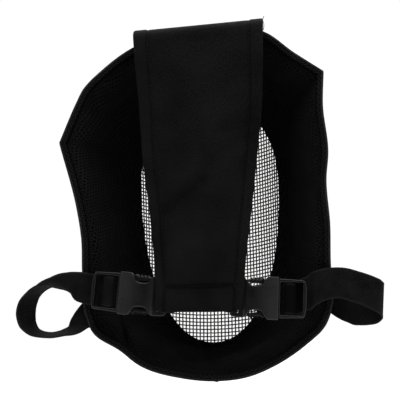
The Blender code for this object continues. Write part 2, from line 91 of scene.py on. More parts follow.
# %% Place the camera
CAMERA_AIM = np.array([-3.14, 0, 12.58]) * MM
CAMERA_DISTANCE = 1100 * MM
CAMERA_YAW = radians(4)
CAMERA_PITCH = radians(-5)
CAMERA_LEAN = radians(4.4)
PHOTO_SIDE_PX = 400
MM_PER_PX = 0.82
SENSOR_MM = 36

flat = cos(CAMERA_PITCH)
away = Vector((sin(CAMERA_YAW) * flat, -cos(CAMERA_YAW) * flat, sin(CAMERA_PITCH)))
right = (away * -1).cross(Vector((0, 0, 1))).normalized()
upward = right.cross(away * -1)
image_right = right * cos(CAMERA_LEAN) - upward * sin(CAMERA_LEAN)
image_up = right * sin(CAMERA_LEAN) + upward * cos(CAMERA_LEAN)

camera = new_object("photo_camera", bpy.data.cameras.new("photo_camera"))
camera.data.sensor_width = SENSOR_MM
camera.data.lens = SENSOR_MM * CAMERA_DISTANCE / (PHOTO_SIDE_PX * MM_PER_PX * MM)
turn = Matrix((image_right, image_up, away)).transposed().to_4x4()
place = Vector(seat(CAMERA_AIM)) + away * CAMERA_DISTANCE
camera.matrix_world = Matrix.Translation(place) @ turn
bpy.context.scene.camera = camera
print("lens", round(camera.data.lens, 1), "mm, camera at", [round(c, 3) for c in place])

# %% [markdown]
# ## Colour and node helpers
# Colours are written as the sRGB hex values that a picture shows, and one
# function turns them into the linear numbers that shaders work with. Another
# adds any node, with its settings and links, so that a material or a geometry
# tree reads as a list of what feeds what.

# %% Helpers for colours and nodes


def linear(hex_colour):
    """An sRGB hex colour as linear red, green, blue and a full alpha."""
    shares = [int(hex_colour[i:i + 2], 16) / 255 for i in (1, 3, 5)]
    bent = [s / 12.92 if s <= 0.04045 else ((s + 0.055) / 1.055) ** 2.4 for s in shares]
    return (*bent, 1.0)


def add(tree, kind, *values, **settings):
    """Adds a node, such as "Math SINE" or a full type name, with its settings and links.

    Its sockets take the values in order, or by name or number from a dict. A node given
    as a value stands for its first live output.
    """
    kind, *operation = kind.split()
    made = tree.nodes.new(kind if "Node" in kind else f"ShaderNode{kind}")
    if operation:
        made.operation = operation[0]
    for name, value in settings.items():
        setattr(made, name, value)
    sockets = {}
    for number, value in enumerate(values):
        sockets.update(value if isinstance(value, dict) else {number: value})
    for socket, value in sockets.items():
        if isinstance(value, bpy.types.Node):
            value = next(out for out in value.outputs if out.enabled)
        if isinstance(value, bpy.types.NodeSocket):
            tree.links.new(value, made.inputs[socket])
        else:
            made.inputs[socket].default_value = value
    return made


def weighted(tree, *terms):
    """The sum of some values, each times its weight."""
    total = 0.0
    for value, weight in terms:
        total = add(tree, "Math MULTIPLY_ADD", value, weight, total)
    return total


def lumps(vector, size_mm, detail=2.0):
    """What a noise needs, for lumps about size_mm across on a vector in metres."""
    return {"Vector": vector, "Scale": 1 / (size_mm * MM), "Detail": detail}


print("mid grey as linear light:", [round(share, 3) for share in linear("#808080")])

# %% Helpers for materials
CLOTH_UV = "cloth_m"
# Painted shade in seam grooves, hems, deep creases and a strap's tail; its low values also pick the knit's
# smaller rim cells.
RIM_CELLS_AND_PAINTED_SHADE = "rim_cells_and_painted_shade"
# Painted highlights and painted light on the rim's rolled edge, the flap's fold, webbing edges and the buckles.
PAINTED_LIGHT = "painted_light"


def new_material(name, roughness, ior=1.5, specular=0.5, sheen=0.0):
    """A material with its constant values, and its tree."""
    made = bpy.data.materials.new(name)
    made.use_nodes = True
    tree = made.node_tree
    values = {"Roughness": roughness, "IOR": ior, "Specular IOR Level": specular, "Sheen Weight": sheen}
    for socket, value in values.items():
        tree.nodes["Principled BSDF"].inputs[socket].default_value = value
    return made, tree


def painted_mark(tree, name):
    """A number from 0 to 1 that the mesh holds for each vertex, as a mark of painted light and painted shade.
    """
    return add(tree, "Attribute", attribute_name=name).outputs["Fac"]


def finished(made, colour, height=None, depth_mm=0.0):
    """Joins a colour to a material's shader, and a height of 0 to 1 as bumps depth_mm deep."""
    tree = made.node_tree
    shader = tree.nodes["Principled BSDF"].inputs
    tree.links.new(colour.outputs[2], shader["Base Color"])
    if height:
        bump = add(tree, "Bump", {"Height": height, "Distance": depth_mm * MM})
        tree.links.new(bump.outputs[0], shader["Normal"])
    return made


def mottled(name, lump_mm, detail, tones, colours, depth_mm=0.0, **constants):
    """A finish with soft lumps of two colours, and bumps with them."""
    made, tree = new_material(name, **constants)
    lump = add(tree, "TexNoise", lumps(add(tree, "TexCoord").outputs["Object"], lump_mm, detail))
    share = add(tree, "MapRange", lump, *tones)
    dark, light = (linear(colour) for colour in colours)
    colour = add(tree, "Mix", share, {6: dark, 7: light}, data_type="RGBA")
    return finished(made, colour, depth_mm and lump, depth_mm)


print("a mesh tells its material:", CLOTH_UV, RIM_CELLS_AND_PAINTED_SHADE, PAINTED_LIGHT)


# %% [markdown]
# ## Woven nylon
# The cover and the flap are a close plain weave of nylon pack cloth. To the eye
# it is a matt near-black with a faint grid of threads, and it looks a little
# lighter at grazing angles, because the fibres scatter light there: that is the
# sheen. Each thread is about 0.5 mm wide in the real cloth. It is drawn 1.2 mm
# wide, because a finer one would not show in the picture.

# %% Make woven nylon
THREAD_DRAWN_MM = 1.2


def woven_nylon():
    made, tree = new_material("woven_nylon", roughness=0.72, ior=1.53, specular=0.02, sheen=0.004)
    cloth = add(tree, "UVMap", uv_map=CLOTH_UV)
    axes = add(tree, "SeparateXYZ", cloth).outputs
    rate = pi / (THREAD_DRAWN_MM * MM)
    threads = [add(tree, "Math SINE", add(tree, "Math MULTIPLY", axes[i], rate)) for i in (0, 1)]
    weave = add(tree, "Math MULTIPLY_ADD", add(tree, "Math MULTIPLY", *threads), 0.5, 0.5)
    slub = add(tree, "TexNoise", lumps(cloth, 1.8))
    faded = add(tree, "TexNoise", lumps(cloth, 45.0, detail=3.0))
    # Painted shade darkens the cloth along seams, hems and deep creases.
    tone = weighted(tree, (weave, 0.8), (slub, 1.45), (faded, 1.0), (painted_mark(tree, RIM_CELLS_AND_PAINTED_SHADE), -0.9))
    share = add(tree, "MapRange", tone, 1.2, 2.08)
    colour = add(tree, "Mix", share, {6: linear("#010101"), 7: linear("#131313")}, data_type="RGBA")
    # Painted highlight: thread crowns turn lighter on the rim's rolled edge and the flap's fold.
    crowns = add(tree, "MapRange", tone, 1.27, 2.07, 0.4, 1.3)
    crowns = add(tree, "Math MULTIPLY", painted_mark(tree, PAINTED_LIGHT), crowns)
    colour = add(tree, "Mix", crowns, {6: colour, 7: linear("#262626")}, data_type="RGBA")
    return finished(made, colour, weighted(tree, (weave, 0.6), (slub, 0.5)), 0.35)


NYLON = woven_nylon()
print("thread drawn at", THREAD_DRAWN_MM, "mm")

# %% [markdown]
# ## Spacer-mesh knit
# The lining is a springy knit with a honeycomb of small open cells over a
# padded core. The eye sees dark oval holes in slightly lighter ribs, in rows that
# run aslant. The holes' dark is partly the knit's pattern and partly painted
# shade in the colour, and the groove where a seam presses the knit down is
# painted nearly black, as painted shade. Three waves at 60 degrees to each other
# add up to a honeycomb, so the pattern costs a few Math nodes and follows the
# lining's own UV map. The cells are drawn twice as long as wide, because the
# walls run away from the eye. They are also drawn larger than real, so that they
# show.

# %% Make the spacer knit
CELL_MM = 2.9
RIM_CELL_MM = 2.3
CELL_STRETCH = 2.0
CELL_TURN = radians(17)
CELL_WANDER = (0.004, 0.004, 0.0)


def honeycomb(tree, vector, cell_mm):
    """A height of 0 to 1, highest at the middle of each cell."""
    axes = add(tree, "SeparateXYZ", vector).outputs
    rate = 4 * pi / (sqrt(3) * cell_mm * MM)
    waves = []
    for angle in (0, pi / 3, 2 * pi / 3):
        along = weighted(tree, (axes[0], rate * cos(angle)), (axes[1], rate * sin(angle)))
        waves.append((add(tree, "Math COSINE", along), 1.0))
    return add(tree, "MapRange", weighted(tree, *waves), -1.5, 3.0)


def spacer_knit():
    made, tree = new_material("spacer_mesh_knit", roughness=0.8, specular=0.03)
    cloth, sewn = add(tree, "UVMap", uv_map=CLOTH_UV), painted_mark(tree, RIM_CELLS_AND_PAINTED_SHADE)
    shaken = add(tree, "VectorMath ADD", cloth, CELL_WANDER)
    wander = add(tree, "TexNoise", lumps(cloth, 30.0))
    bent = add(tree, "Mix", wander, {4: cloth, 5: shaken}, data_type="VECTOR")
    wide = add(tree, "VectorMath MULTIPLY", bent, (1, 1 / CELL_STRETCH, 1))
    turned = add(tree, "VectorRotate", wide, {"Angle": CELL_TURN}, rotation_type="Z_AXIS")
    # Low values of the mark pick the smaller cells near the rim.
    at_rim = add(tree, "MapRange", sewn, 0.1, 0.4)
    both = {2: honeycomb(tree, turned, CELL_MM), 3: honeycomb(tree, bent, RIM_CELL_MM)}
    # The holes are dark partly as the knit's pattern and partly as painted shade.
    holes = add(tree, "MapRange", add(tree, "Mix", at_rim, both), 0.12, 0.5)
    fibres = add(tree, "TexNoise", lumps(cloth, 1.3))
    patches = add(tree, "TexNoise", lumps(cloth, 18.0, detail=3.0))
    # Painted shade: the seam groove and the chin crease are darkened in the colour.
    groove = add(tree, "MapRange", sewn, 0.4, 1.0)
    tone = weighted(tree, (patches, 0.4), (holes, -0.95), (fibres, 1.2), (groove, -0.8))
    share = add(tree, "MapRange", tone, 0.26, 1.06)
    colour = add(tree, "Mix", share, {6: linear("#010101"), 7: linear("#1a1a1a")}, data_type="RGBA")
    return finished(made, colour, weighted(tree, (fibres, 0.3), (holes, -1.0)), 0.35)


KNIT = spacer_knit()
print("knit cell", CELL_MM, "mm")

# %% [markdown]
# ## Painted wire, elastic webbing, moulded acetal and thread
# - The window's steel wire carries a thin satin black paint, so it is finished
#   as paint and not as bare metal.
# - Elastic webbing is ribbed across. The ribs are in the mesh, and the material
#   adds the fuzz of its textured yarn.
# - The buckles are acetal from a lightly grained mould. They are satin black.
#   Painted light greys the broad end of each socket, and painted highlights
#   lie on every rounded edge.
# - The thread is a little glossier than the cloth, so a row of stitches catches
#   the light.

# %% Make the other finishes


def elastic_webbing():
    made, tree = new_material("elastic_webbing", roughness=0.75, specular=0.03, sheen=0.004)
    cloth = add(tree, "UVMap", uv_map=CLOTH_UV)
    fuzz = add(tree, "TexNoise", lumps(cloth, 1.4, detail=3.0))
    shade = add(tree, "TexNoise", lumps(cloth, 14.0))
    # Painted shade darkens a strap's tail inside its buckle's frame.
    tone = weighted(tree, (fuzz, 0.6), (shade, 0.5), (painted_mark(tree, RIM_CELLS_AND_PAINTED_SHADE), -0.4))
    share = add(tree, "MapRange", tone, 0.35, 0.75)
    colour = add(tree, "Mix", share, {6: linear("#020202"), 7: linear("#121212")}, data_type="RGBA")
    # Painted highlight along the webbing's edges.
    edge = {6: colour, 7: linear("#181818")}
    colour = add(tree, "Mix", painted_mark(tree, PAINTED_LIGHT), edge, data_type="RGBA")
    return finished(made, colour, fuzz, 0.3)


def moulded_acetal():
    made, tree = new_material("moulded_acetal", roughness=0.3, ior=1.48, specular=0.16)
    place = add(tree, "TexCoord").outputs["Object"]
    grain = add(tree, "TexNoise", lumps(place, 0.5))
    scuffs = add(tree, "TexNoise", lumps(place, 9.0, detail=5.0))
    scuffed = add(tree, "MapRange", scuffs, 0.4, 0.8)
    # Mostly painted light and painted highlights from the mesh's mark, with a little scuffing.
    painted_light_and_scuffs = weighted(tree, (painted_mark(tree, PAINTED_LIGHT), 0.95), (scuffed, 0.05))
    colour = add(tree, "Mix", painted_light_and_scuffs, {6: linear("#020202"), 7: linear("#2b2b2b")}, data_type="RGBA")
    gloss = add(tree, "MapRange", scuffs, 0.3, 0.75, 0.24, 0.36)
    tree.links.new(gloss.outputs[0], tree.nodes["Principled BSDF"].inputs["Roughness"])
    return finished(made, colour, grain, 0.006)


WIRE_PAINT = mottled(
    "painted_steel_wire", 6.0, 3.0, (0.35, 0.75), ("#0a0a0a", "#161616"), 0.08, roughness=0.5, specular=0.15
)
ELASTIC = elastic_webbing()
ACETAL = moulded_acetal()
THREAD = mottled(
    "bonded_sewing_thread", 0.6, 1.0, (0.3, 0.7), ("#080808", "#141414"), 0.1,
    roughness=0.5, ior=1.53, specular=0.06,
)
print("finishes:", [m.name for m in bpy.data.materials])

# %% [markdown]
# ## Studio
# A pale floor well under the mask, a bright surround and one soft lamp. The
# surround is a light tent: white behind the mask, where it shows through the
# wire mesh, brightest at the sides and above, and dimmer round the camera. So
# edges that turn towards the sides catch a thin light line, as in the photograph.
# The lamp hangs high over the camera, so the fold over the rim is the lightest
# cloth and creases show. The floor ends before the camera, where a photographer
# lays black card, so that flat black plastic mirrors the dark and only its
# edges shine.

# %% Build the studio
FLOOR_Z = -360 * MM
FLOOR_REACH = 6.0
FLOOR_FRONT = -0.9
TENT_BACK = 1.03
TENT_SIDES = 0.95
TENT_FRONT = 0.15
TENT_LOW, TENT_TOP = 1.0, 1.9
TENT_LEFT, TENT_RIGHT = 0.7, 1.12
LAMP_PLACE = Vector((0.2, -0.95, 1.35))
LAMP_AIM = Vector((0, 0, -0.12))
LAMP_SIDE = 0.7
LAMP_WATTS = 18.0

floor = new_object("floor", bpy.data.meshes.new("floor"))
corners = [(x * FLOOR_REACH, y, FLOOR_Z) for x in (-1, 1) for y in (FLOOR_FRONT, FLOOR_REACH)]
floor.data.from_pydata(corners, [], [(0, 2, 3, 1)])
floor.data.materials.append(mottled("pale_floor", 400.0, 2.0, (0, 1), ("#f6f6f5", "#fbfbfa"), roughness=0.9))

world = bpy.data.worlds.new("even_surround")
world.use_nodes = True
tent = world.node_tree
towards = add(tent, "SeparateXYZ", add(tent, "TexCoord").outputs["Generated"]).outputs
front = add(tent, "MapRange", towards[1], -1.0, -0.5, TENT_FRONT, TENT_SIDES)
for axis, low, high in ((2, TENT_LOW, TENT_TOP), (0, TENT_LEFT, TENT_RIGHT)):
    front = add(tent, "Math MULTIPLY", front, add(tent, "MapRange", towards[axis], -0.8, 0.8, low, high))
back = add(tent, "MapRange", towards[1], 0.7, 0.95, TENT_SIDES, TENT_BACK)
part_back = add(tent, "MapRange", towards[1], 0.3, 0.7)
strength = add(tent, "Mix", part_back, {2: front, 3: back})
tent.links.new(strength.outputs[0], tent.nodes["Background"].inputs["Strength"])
tent.nodes["Background"].inputs["Color"].default_value = (1, 1, 1, 1)
bpy.context.scene.world = world
bpy.context.scene.view_settings.view_transform = "Standard"

lamp = new_object("soft_lamp", bpy.data.lights.new("soft_lamp", "AREA"))
lamp.data.size = LAMP_SIDE
lamp.data.energy = LAMP_WATTS
lamp.location = LAMP_PLACE
lamp.rotation_euler = (LAMP_AIM - LAMP_PLACE).to_track_quat("-Z", "Y").to_euler()
print("floor at", FLOOR_Z, "m, tent", TENT_FRONT, TENT_SIDES, TENT_BACK)

# %% [markdown]
# ## The shell's wall as a formula
# Cover, lining and the window's margin are layers of one curved wall, so they
# share one formula. A table gives the open rim, section by section. The window
# is an egg on a shallow dome. Between them the wall bends like a bow: a curve
# that leaves the rim, swells at a shoulder and arrives along the dome's slope.
# A sharp section is a corner of the rim, and the curve doesn't round it off.

# %% The rim and the window in numbers
RIM = table(
    "name x z y sharp",
    ("crown", 6, 155, 10, 0), ("crown_right", 61, 148.5, 8, 0), ("shoulder_right", 83, 129, 4, 0),
    ("corner_right", 106.5, 110, 0, 1), ("temple_right", 103.5, 82, -3, 0),
    ("cheek_right", 104.5, 42, -3, 0),
    ("dent_right", 101.4, 22, 0, 0), ("side_right", 101.2, -16, 0, 0), ("strap_right", 99, -49, 0, 0),
    ("jaw_right_top", 98.7, -77, 2, 0), ("jaw_right", 91, -97, 4, 0),
    ("chin_right_3", 72.6, -112.6, 6, 0), ("chin_right_2", 48.6, -126.3, 8, 0),
    ("chin_right_1", 25, -134.4, 9, 0), ("chin", -1.4, -136.1, 10, 0),
    ("chin_left_1", -28, -132.1, 9, 0), ("chin_left_2", -64.8, -117.9, 7, 0),
    ("chin_left_3", -78.7, -105.4, 6, 0), ("jaw_left", -100, -88.5, 4, 0),
    ("jaw_left_top", -104.6, -74.7, 2, 0),
    ("strap_left", -104.7, -40, 0, 0), ("side_left", -103.5, -10.6, 0, 0), ("cheek_left", -105.6, 13.6, 0, 0),
    ("ear_left", -115.5, 68.9, -5, 1), ("temple_left", -99.1, 102.2, -2, 0),
    ("corner_left", -94.2, 111.4, 0, 0), ("shoulder_left", -76.7, 128, 3, 0), ("crown_left", -49.1, 146, 8, 0),
)
RIM_KNOTS = np.array([(row.x, row.y, row.z) for row in RIM]) * MM
RIM_SHARP = np.array([row.sharp for row in RIM], bool)[:, None]
RIM_NAMES = [row.name for row in RIM]

WINDOW_CENTRE = np.array([-0.9, 0, 30]) * MM
WINDOW_HALF_WIDTH = 65.3 * MM
WINDOW_UP = 82 * MM
WINDOW_DOWN = 138 * MM
WINDOW_FULLNESS_UP = 2.25
WINDOW_FULLNESS_DOWN = 2.12
WINDOW_LEAN = radians(2.8)
WINDOW_SIDE_Y = 106 * MM
WINDOW_END_Y = 112 * MM
DOME_HEIGHT = 30 * MM
SHOULDER_SHARE = 0.55
print("rim:", len(RIM), "sections; window:", round(2 * WINDOW_HALF_WIDTH / MM), "mm wide")

# %% Curves along the rim
RIM_FINE_STEPS = 40


def hermite(p0, p1, m0, m1, t):
    """Points at t from p0 to p1, leaving along m0 and arriving along m1."""
    t2, t3 = t * t, t * t * t
    return p0 * (2 * t3 - 3 * t2 + 1) + m0 * (t3 - 2 * t2 + t) + p1 * (3 * t2 - 2 * t3) + m1 * (t3 - t2)


def lengths(vectors):
    return np.linalg.norm(vectors, axis=-1, keepdims=True)


def unit(vectors):
    return vectors / lengths(vectors)


def run_along(points):
    """Distances along a line of points from the first."""
    return np.concatenate([[0], np.cumsum(lengths(np.diff(points, axis=0))[:, 0])])


def knot_slopes(before, here, after):
    """Slopes at knots that lean on the nearer neighbour."""
    back, ahead = lengths(here - before), lengths(after - here)
    return ((here - before) / back * ahead + (after - here) / ahead * back) / (back + ahead)


def rim_at(places):
    """The rim's outer edge at places, which are row numbers of RIM with a fraction."""
    number = np.floor(places).astype(int)
    here, after = number % len(RIM), (number + 1) % len(RIM)
    slopes = knot_slopes(np.roll(RIM_KNOTS, 1, 0), RIM_KNOTS, np.roll(RIM_KNOTS, -1, 0))
    start, end = RIM_KNOTS[here], RIM_KNOTS[after]
    leg = lengths(end - start)
    leave, arrive = (np.where(RIM_SHARP[knot], (end - start) / leg, slopes[knot]) for knot in (here, after))
    return hermite(start, end, leave * leg, arrive * leg, (places - number)[:, None])


def even_places(count):
    """Places round the rim, the same length of edge apart, and the edge's whole length."""
    fine = np.linspace(0, len(RIM), len(RIM) * RIM_FINE_STEPS + 1)
    run = run_along(rim_at(fine))
    return np.interp(np.arange(count) / count * run[-1], run, fine), run[-1]


EDGE_LENGTH = even_places(8)[1]
print("rim length", round(EDGE_LENGTH / MM), "mm")

# %% The window's dome and the wall


def window_reach(along_x, along_z):
    """The window's reach from its centre in unit directions."""
    across = along_x * cos(WINDOW_LEAN) - along_z * sin(WINDOW_LEAN)
    upwards = along_z * cos(WINDOW_LEAN) + along_x * sin(WINDOW_LEAN)
    reach = np.where(upwards > 0, WINDOW_UP, WINDOW_DOWN)
    fullness = np.where(upwards > 0, WINDOW_FULLNESS_UP, WINDOW_FULLNESS_DOWN)
    shares = np.abs(across / WINDOW_HALF_WIDTH) ** fullness + np.abs(upwards / reach) ** fullness
    return shares ** (-1 / fullness)


def dome(along_x, along_z, share):
    """The dome's outer face in a unit direction, share of the way out to the window's edge."""
    reach = window_reach(along_x, along_z) * share
    edge = WINDOW_SIDE_Y + (WINDOW_END_Y - WINDOW_SIDE_Y) * along_z**2 * share**2
    y = edge + DOME_HEIGHT * (1 - share**2)
    return WINDOW_CENTRE + np.stack([along_x * reach, y, along_z * reach], -1)


class Wall:
    """The wall's curves at places round the rim."""

    def __init__(self, places):
        self.places = places
        self.rim = rim_at(places)
        x, _, z = (self.rim - WINDOW_CENTRE).T
        spread = np.hypot(x, z)
        self.along_x, self.along_z = x / spread, z / spread
        reach = window_reach(self.along_x, self.along_z)
        self.window = dome(self.along_x, self.along_z, 1.0)
        out = SHOULDER_SHARE * (spread - reach)
        drop = out * 2 * (DOME_HEIGHT - (WINDOW_END_Y - WINDOW_SIDE_Y) * self.along_z**2) / reach
        self.shoulder = self.window + np.stack([self.along_x * out, -drop, self.along_z * out], -1)

    def shares(self, from_rim_mm, steps, from_window_mm):
        """Shares of the way in: some lengths in from the rim, even steps, some before the window."""
        first = np.array(from_rim_mm) * MM / (2 * lengths(self.shoulder - self.rim))
        last = 1 - np.array(from_window_mm) * MM / (2 * lengths(self.window - self.shoulder))
        middle = first[:, -1:] + (last[:, :1] - first[:, -1:]) * np.arange(1, steps) / steps
        return np.concatenate([first, middle, last], 1)

    def points(self, shares):
        s = shares[..., None]
        rim, shoulder, window = (p[:, None] for p in (self.rim, self.shoulder, self.window))
        return rim * (1 - s) ** 2 + shoulder * (2 * s * (1 - s)) + window * s**2

    def inward(self, shares):
        """Unit directions along the wall, from the rim to the window."""
        s = shares[..., None]
        return unit((self.shoulder - self.rim)[:, None] * (1 - s) + (self.window - self.shoulder)[:, None] * s)


print("the window's top, in mm:", (Wall(np.zeros(1)).window[0] / MM).round(1))

# %% [markdown]
# ## Building closed shells from grids
# Most pieces here are a grid of points turned into a closed skin. A ring is a
# cross-section carried round the mask, and a sheet is a middle surface with a
# thickness that tapers at its edges, so that cloth doesn't end in a square cut.
# Both get a UV map in real metres, which keeps weave and knit at their true
# scale however the piece bends.

# %% Make a mesh object
SHARP_EDGE = radians(50)


def add_piece(name, points, faces, finish, uv=None):
    """A mesh object at the origin, its place in its points. uv has one pair for each face corner."""
    mesh = bpy.data.meshes.new(name)
    mesh.from_pydata(seat(points).tolist(), [], faces)
    if uv is not None:
        layer = mesh.uv_layers.new(name=CLOTH_UV)
        layer.data.foreach_set("uv", np.asarray(uv, np.float32).ravel())
    mesh.materials.append(finish)
    mesh.shade_smooth()
    mesh.set_sharp_from_angle(angle=SHARP_EDGE)
    return new_object(name, mesh)


def mark(piece, name, values):
    """Stores one number from 0 to 1 for each vertex, for the material to read."""
    layer = piece.data.attributes.new(name, "FLOAT", "POINT")
    layer.data.foreach_set("value", np.asarray(values, np.float32).ravel())


def face_out(piece):
    """Turns a closed mesh the right way out, by the sign of its volume."""
    mesh = piece.data
    mesh.calc_loop_triangles()
    points = np.array([v.co for v in mesh.vertices])
    corners = points[np.array([t.vertices for t in mesh.loop_triangles])]
    if np.einsum("ij,ij->i", corners[:, 0], np.cross(corners[:, 1], corners[:, 2])).sum() < 0:
        mesh.flip_normals()
    return piece


def made_by_modifiers(piece):
    """A new mesh, as a piece's modifiers make it."""
    bpy.context.view_layer.update()
    graph = bpy.context.evaluated_depsgraph_get()
    return bpy.data.meshes.new_from_object(piece.evaluated_get(graph), depsgraph=graph)


print("shading breaks at", round(SHARP_EDGE, 2), "radians")

# %% Faces for rings, blocks and sheets
PANELS = 6


def quads(rows, columns, joined_rows=False, joined_columns=False):
    """Faces of a grid of points, which may join up with itself along either way."""
    counts = rows - 1 + joined_rows, columns - 1 + joined_columns
    r, c = np.meshgrid(*(np.arange(count) for count in counts), indexing="ij")
    below, after = (r + 1) % rows, (c + 1) % columns
    corners = [r * columns + c, r * columns + after, below * columns + after, below * columns + c]
    return np.stack(corners, -1).reshape(-1, 4)


def capped(rings, sides):
    """Faces of a closed block whose points are rings of as many sides."""
    ends = [list(range(sides)), list(range((rings - 1) * sides, rings * sides))[::-1]]
    return ends + quads(rings, sides, joined_columns=True)[:, (0, 3, 2, 1)].tolist()


def closed_ring(name, rings, around_m, finish):
    """A closed skin whose cross-section, rings[n], is carried round. around_m has one more than rings.

    The cloth is laid in panels, each true to scale about its own middle.
    """
    count, size = rings.shape[:2]
    n, k = np.meshgrid(np.arange(count), np.arange(size), indexing="ij")
    turn = (k + 1) % size
    across_m = np.concatenate([[0], np.cumsum(lengths(np.diff(rings, axis=1))[..., 0].mean(0))])
    ahead = np.roll(across_m, -1)
    girth = lengths(rings - np.roll(rings, 1, 0))[..., 0].sum(0) / around_m[-1]
    middle = (np.floor(around_m[n] / around_m[-1] * PANELS) + 0.5) * around_m[-1] / PANELS
    near, far = around_m[n] - middle, around_m[n + 1] - middle
    u = [middle + away * girth[row] for away, row in ((near, k), (near, turn), (far, turn), (far, k))]
    v = [across_m[k], ahead[k], ahead[k], across_m[k]]
    faces = quads(count, size, joined_rows=True, joined_columns=True)
    uv = np.array([u, v]).transpose(2, 3, 1, 0)
    return face_out(add_piece(name, rings.reshape(-1, 3), faces.tolist(), finish, uv))


def grid_normals(grid):
    return unit(np.cross(np.gradient(grid, axis=0), np.gradient(grid, axis=1)))


def sheet_piece(name, grid, stand, finish):
    """A closed sheet whose two faces stand off a grid."""
    rows, columns = grid.shape[:2]
    off = grid_normals(grid) * stand[..., None]
    points = np.concatenate([grid + off, grid - off]).reshape(-1, 3)
    widest = np.argmax(lengths(grid[:, -1] - grid[:, 0])[:, 0])
    u, v = run_along(grid[widest]), run_along(grid[:, columns // 2])
    place = np.tile(np.stack(np.meshgrid(u, v), -1).reshape(-1, 2), (2, 1))
    ids = np.arange(rows * columns).reshape(rows, columns)
    edge = np.concatenate([ids[0], ids[1:, -1], ids[-1, -2::-1], ids[-2:0:-1, 0]])
    ahead, shift = np.roll(edge, -1), rows * columns
    over = quads(rows, columns)
    wall = np.stack([edge, edge + shift, ahead + shift, ahead], -1)
    faces = np.concatenate([over, over[:, ::-1] + shift, wall])
    return face_out(add_piece(name, points, faces.tolist(), finish, place[faces.ravel()]))


print("panels round the mask:", PANELS)

# %% Shapes in numbers
CLOTH_EDGE = 0.85


def hump(distance, width):
    """1 at no distance, falling away softly over about a width."""
    return np.exp(-((distance / width) ** 2))


def ramp(value, low, high):
    """0 below low, 1 above high and a smooth rise between."""
    t = np.clip((value - low) / (high - low), 0, 1)
    return t * t * (3 - 2 * t)


def rounded(depth, radius, share=CLOTH_EDGE):
    """How high a rounded edge stands, from 0 to 1, at a depth in from it. A share of 1 starts from nothing."""
    return np.sqrt(1 - (1 - np.clip(depth / radius, 0, 1)) ** 2 * share)


def nearest(values, wanted):
    """The number of the value that is nearest to the wanted one."""
    return int(np.argmin(np.abs(values - wanted)))


def smooth_path(knots, pitch):
    """Points along a smooth open curve through the knots, and their places among them."""
    knots = np.asarray(knots, float)
    inner = knot_slopes(knots[:-2], knots[1:-1], knots[2:])
    slopes = np.concatenate([unit(knots[1:2] - knots[:1]), inner, unit(knots[-1:] - knots[-2:-1])])
    points, places = [], []
    for number, (start, end) in enumerate(zip(knots[:-1], knots[1:])):
        leg = np.linalg.norm(end - start)
        steps = max(1, ceil(leg / pitch))
        t = np.arange(steps) / steps
        points.append(hermite(start, end, slopes[number] * leg, slopes[number + 1] * leg, t[:, None]))
        places.append(number + t)
    return np.concatenate([*points, knots[-1:]]), np.concatenate([*places, [len(knots) - 1.0]])


def between(rows, places):
    """A table's values at places between its rows."""
    rows = np.asarray(rows, float)
    return np.stack([np.interp(places, np.arange(len(rows)), column) for column in rows.T], -1)


print("builders ready")

# %% [markdown]
# ## The wire-mesh window
# The window is woven steel: upright wires and level wires pass over and under
# each other, and the whole cloth was then pressed into a shallow dome, which
# drew the level wires down in the middle. Hundreds of wires that follow one
# rule are work for Geometry Nodes. Flat wires are laid out, bent by the rule
# (closer towards the sides, where the dome turns away from the eye),
# dropped onto a guide surface with a ray, and lifted or sunk at each crossing.

# %% A guide surface inside the wall
COVER_THICK = 1.6 * MM
GAP = 0.3 * MM
MESH_THICK = 1.6 * MM
MESH_CLEAR = 0.8 * MM
WIRE_DEPTH = COVER_THICK + 0.5 * MESH_THICK + 2 * GAP
GUIDE_PLACES = 160
GUIDE_START_MM = 60
GUIDE_MARGIN_MM = (6, 4, 2, 0)
GUIDE_RINGS = 26
GUIDE_POLE_SHARE = 0.02


def guide_surface():
    """The middle of the wire cloth: the wall's last few millimetres and the dome."""
    wall = Wall(even_places(GUIDE_PLACES)[0])
    margin = wall.points(wall.shares((GUIDE_START_MM,), 1, GUIDE_MARGIN_MM)[:, 1:])
    shares = np.linspace(1, GUIDE_POLE_SHARE, GUIDE_RINGS)[1:]
    rings = [dome(wall.along_x, wall.along_z, share) for share in shares]
    grid = np.concatenate([margin, np.stack(rings, 1)], 1)
    around = np.roll(grid, -1, 0) - np.roll(grid, 1, 0)
    normal = unit(np.cross(around, np.gradient(grid, axis=1)))
    grid = grid - normal * np.sign(normal[..., 1:2].mean()) * WIRE_DEPTH
    count, size = grid.shape[:2]
    last = np.arange(count) * size + size - 1
    faces = quads(count, size, joined_rows=True).tolist()
    faces += np.stack([last, np.full(count, count * size), np.roll(last, -1)], -1).tolist()
    points = np.concatenate([grid.reshape(-1, 3), grid[:, -1].mean(0)[None]])
    return add_piece("wire_guide", points, faces, WIRE_PAINT)


guide = guide_surface()
print("guide:", len(guide.data.polygons), "faces")

# %% Start, finish and run a geometry tree
SOCKETS = {float: "Float", tuple: "Vector", bpy.types.Material: "Material"}


def new_tree(name, values):
    """A geometry tree that takes a guide and the named values, and gives what it made."""
    tree = bpy.data.node_groups.new(name, "GeometryNodeTree")
    new_socket = tree.interface.new_socket
    new_socket("Guide", in_out="INPUT", socket_type="NodeSocketGeometry")
    for socket, value in values.items():
        new_socket(socket, in_out="INPUT", socket_type=f"NodeSocket{SOCKETS[type(value)]}")
    new_socket("Made", in_out="OUTPUT", socket_type="NodeSocketGeometry")
    return tree, add(tree, "NodeGroupInput").outputs


def finish_tree(tree, given, geometry):
    """Ends a tree: real meshes in place of instances, and their material."""
    real = add(tree, "GeometryNodeRealizeInstances", geometry)
    painted = add(tree, "GeometryNodeSetMaterial", {"Geometry": real, "Material": given["Finish"]})
    add(tree, "NodeGroupOutput", painted)
    return tree


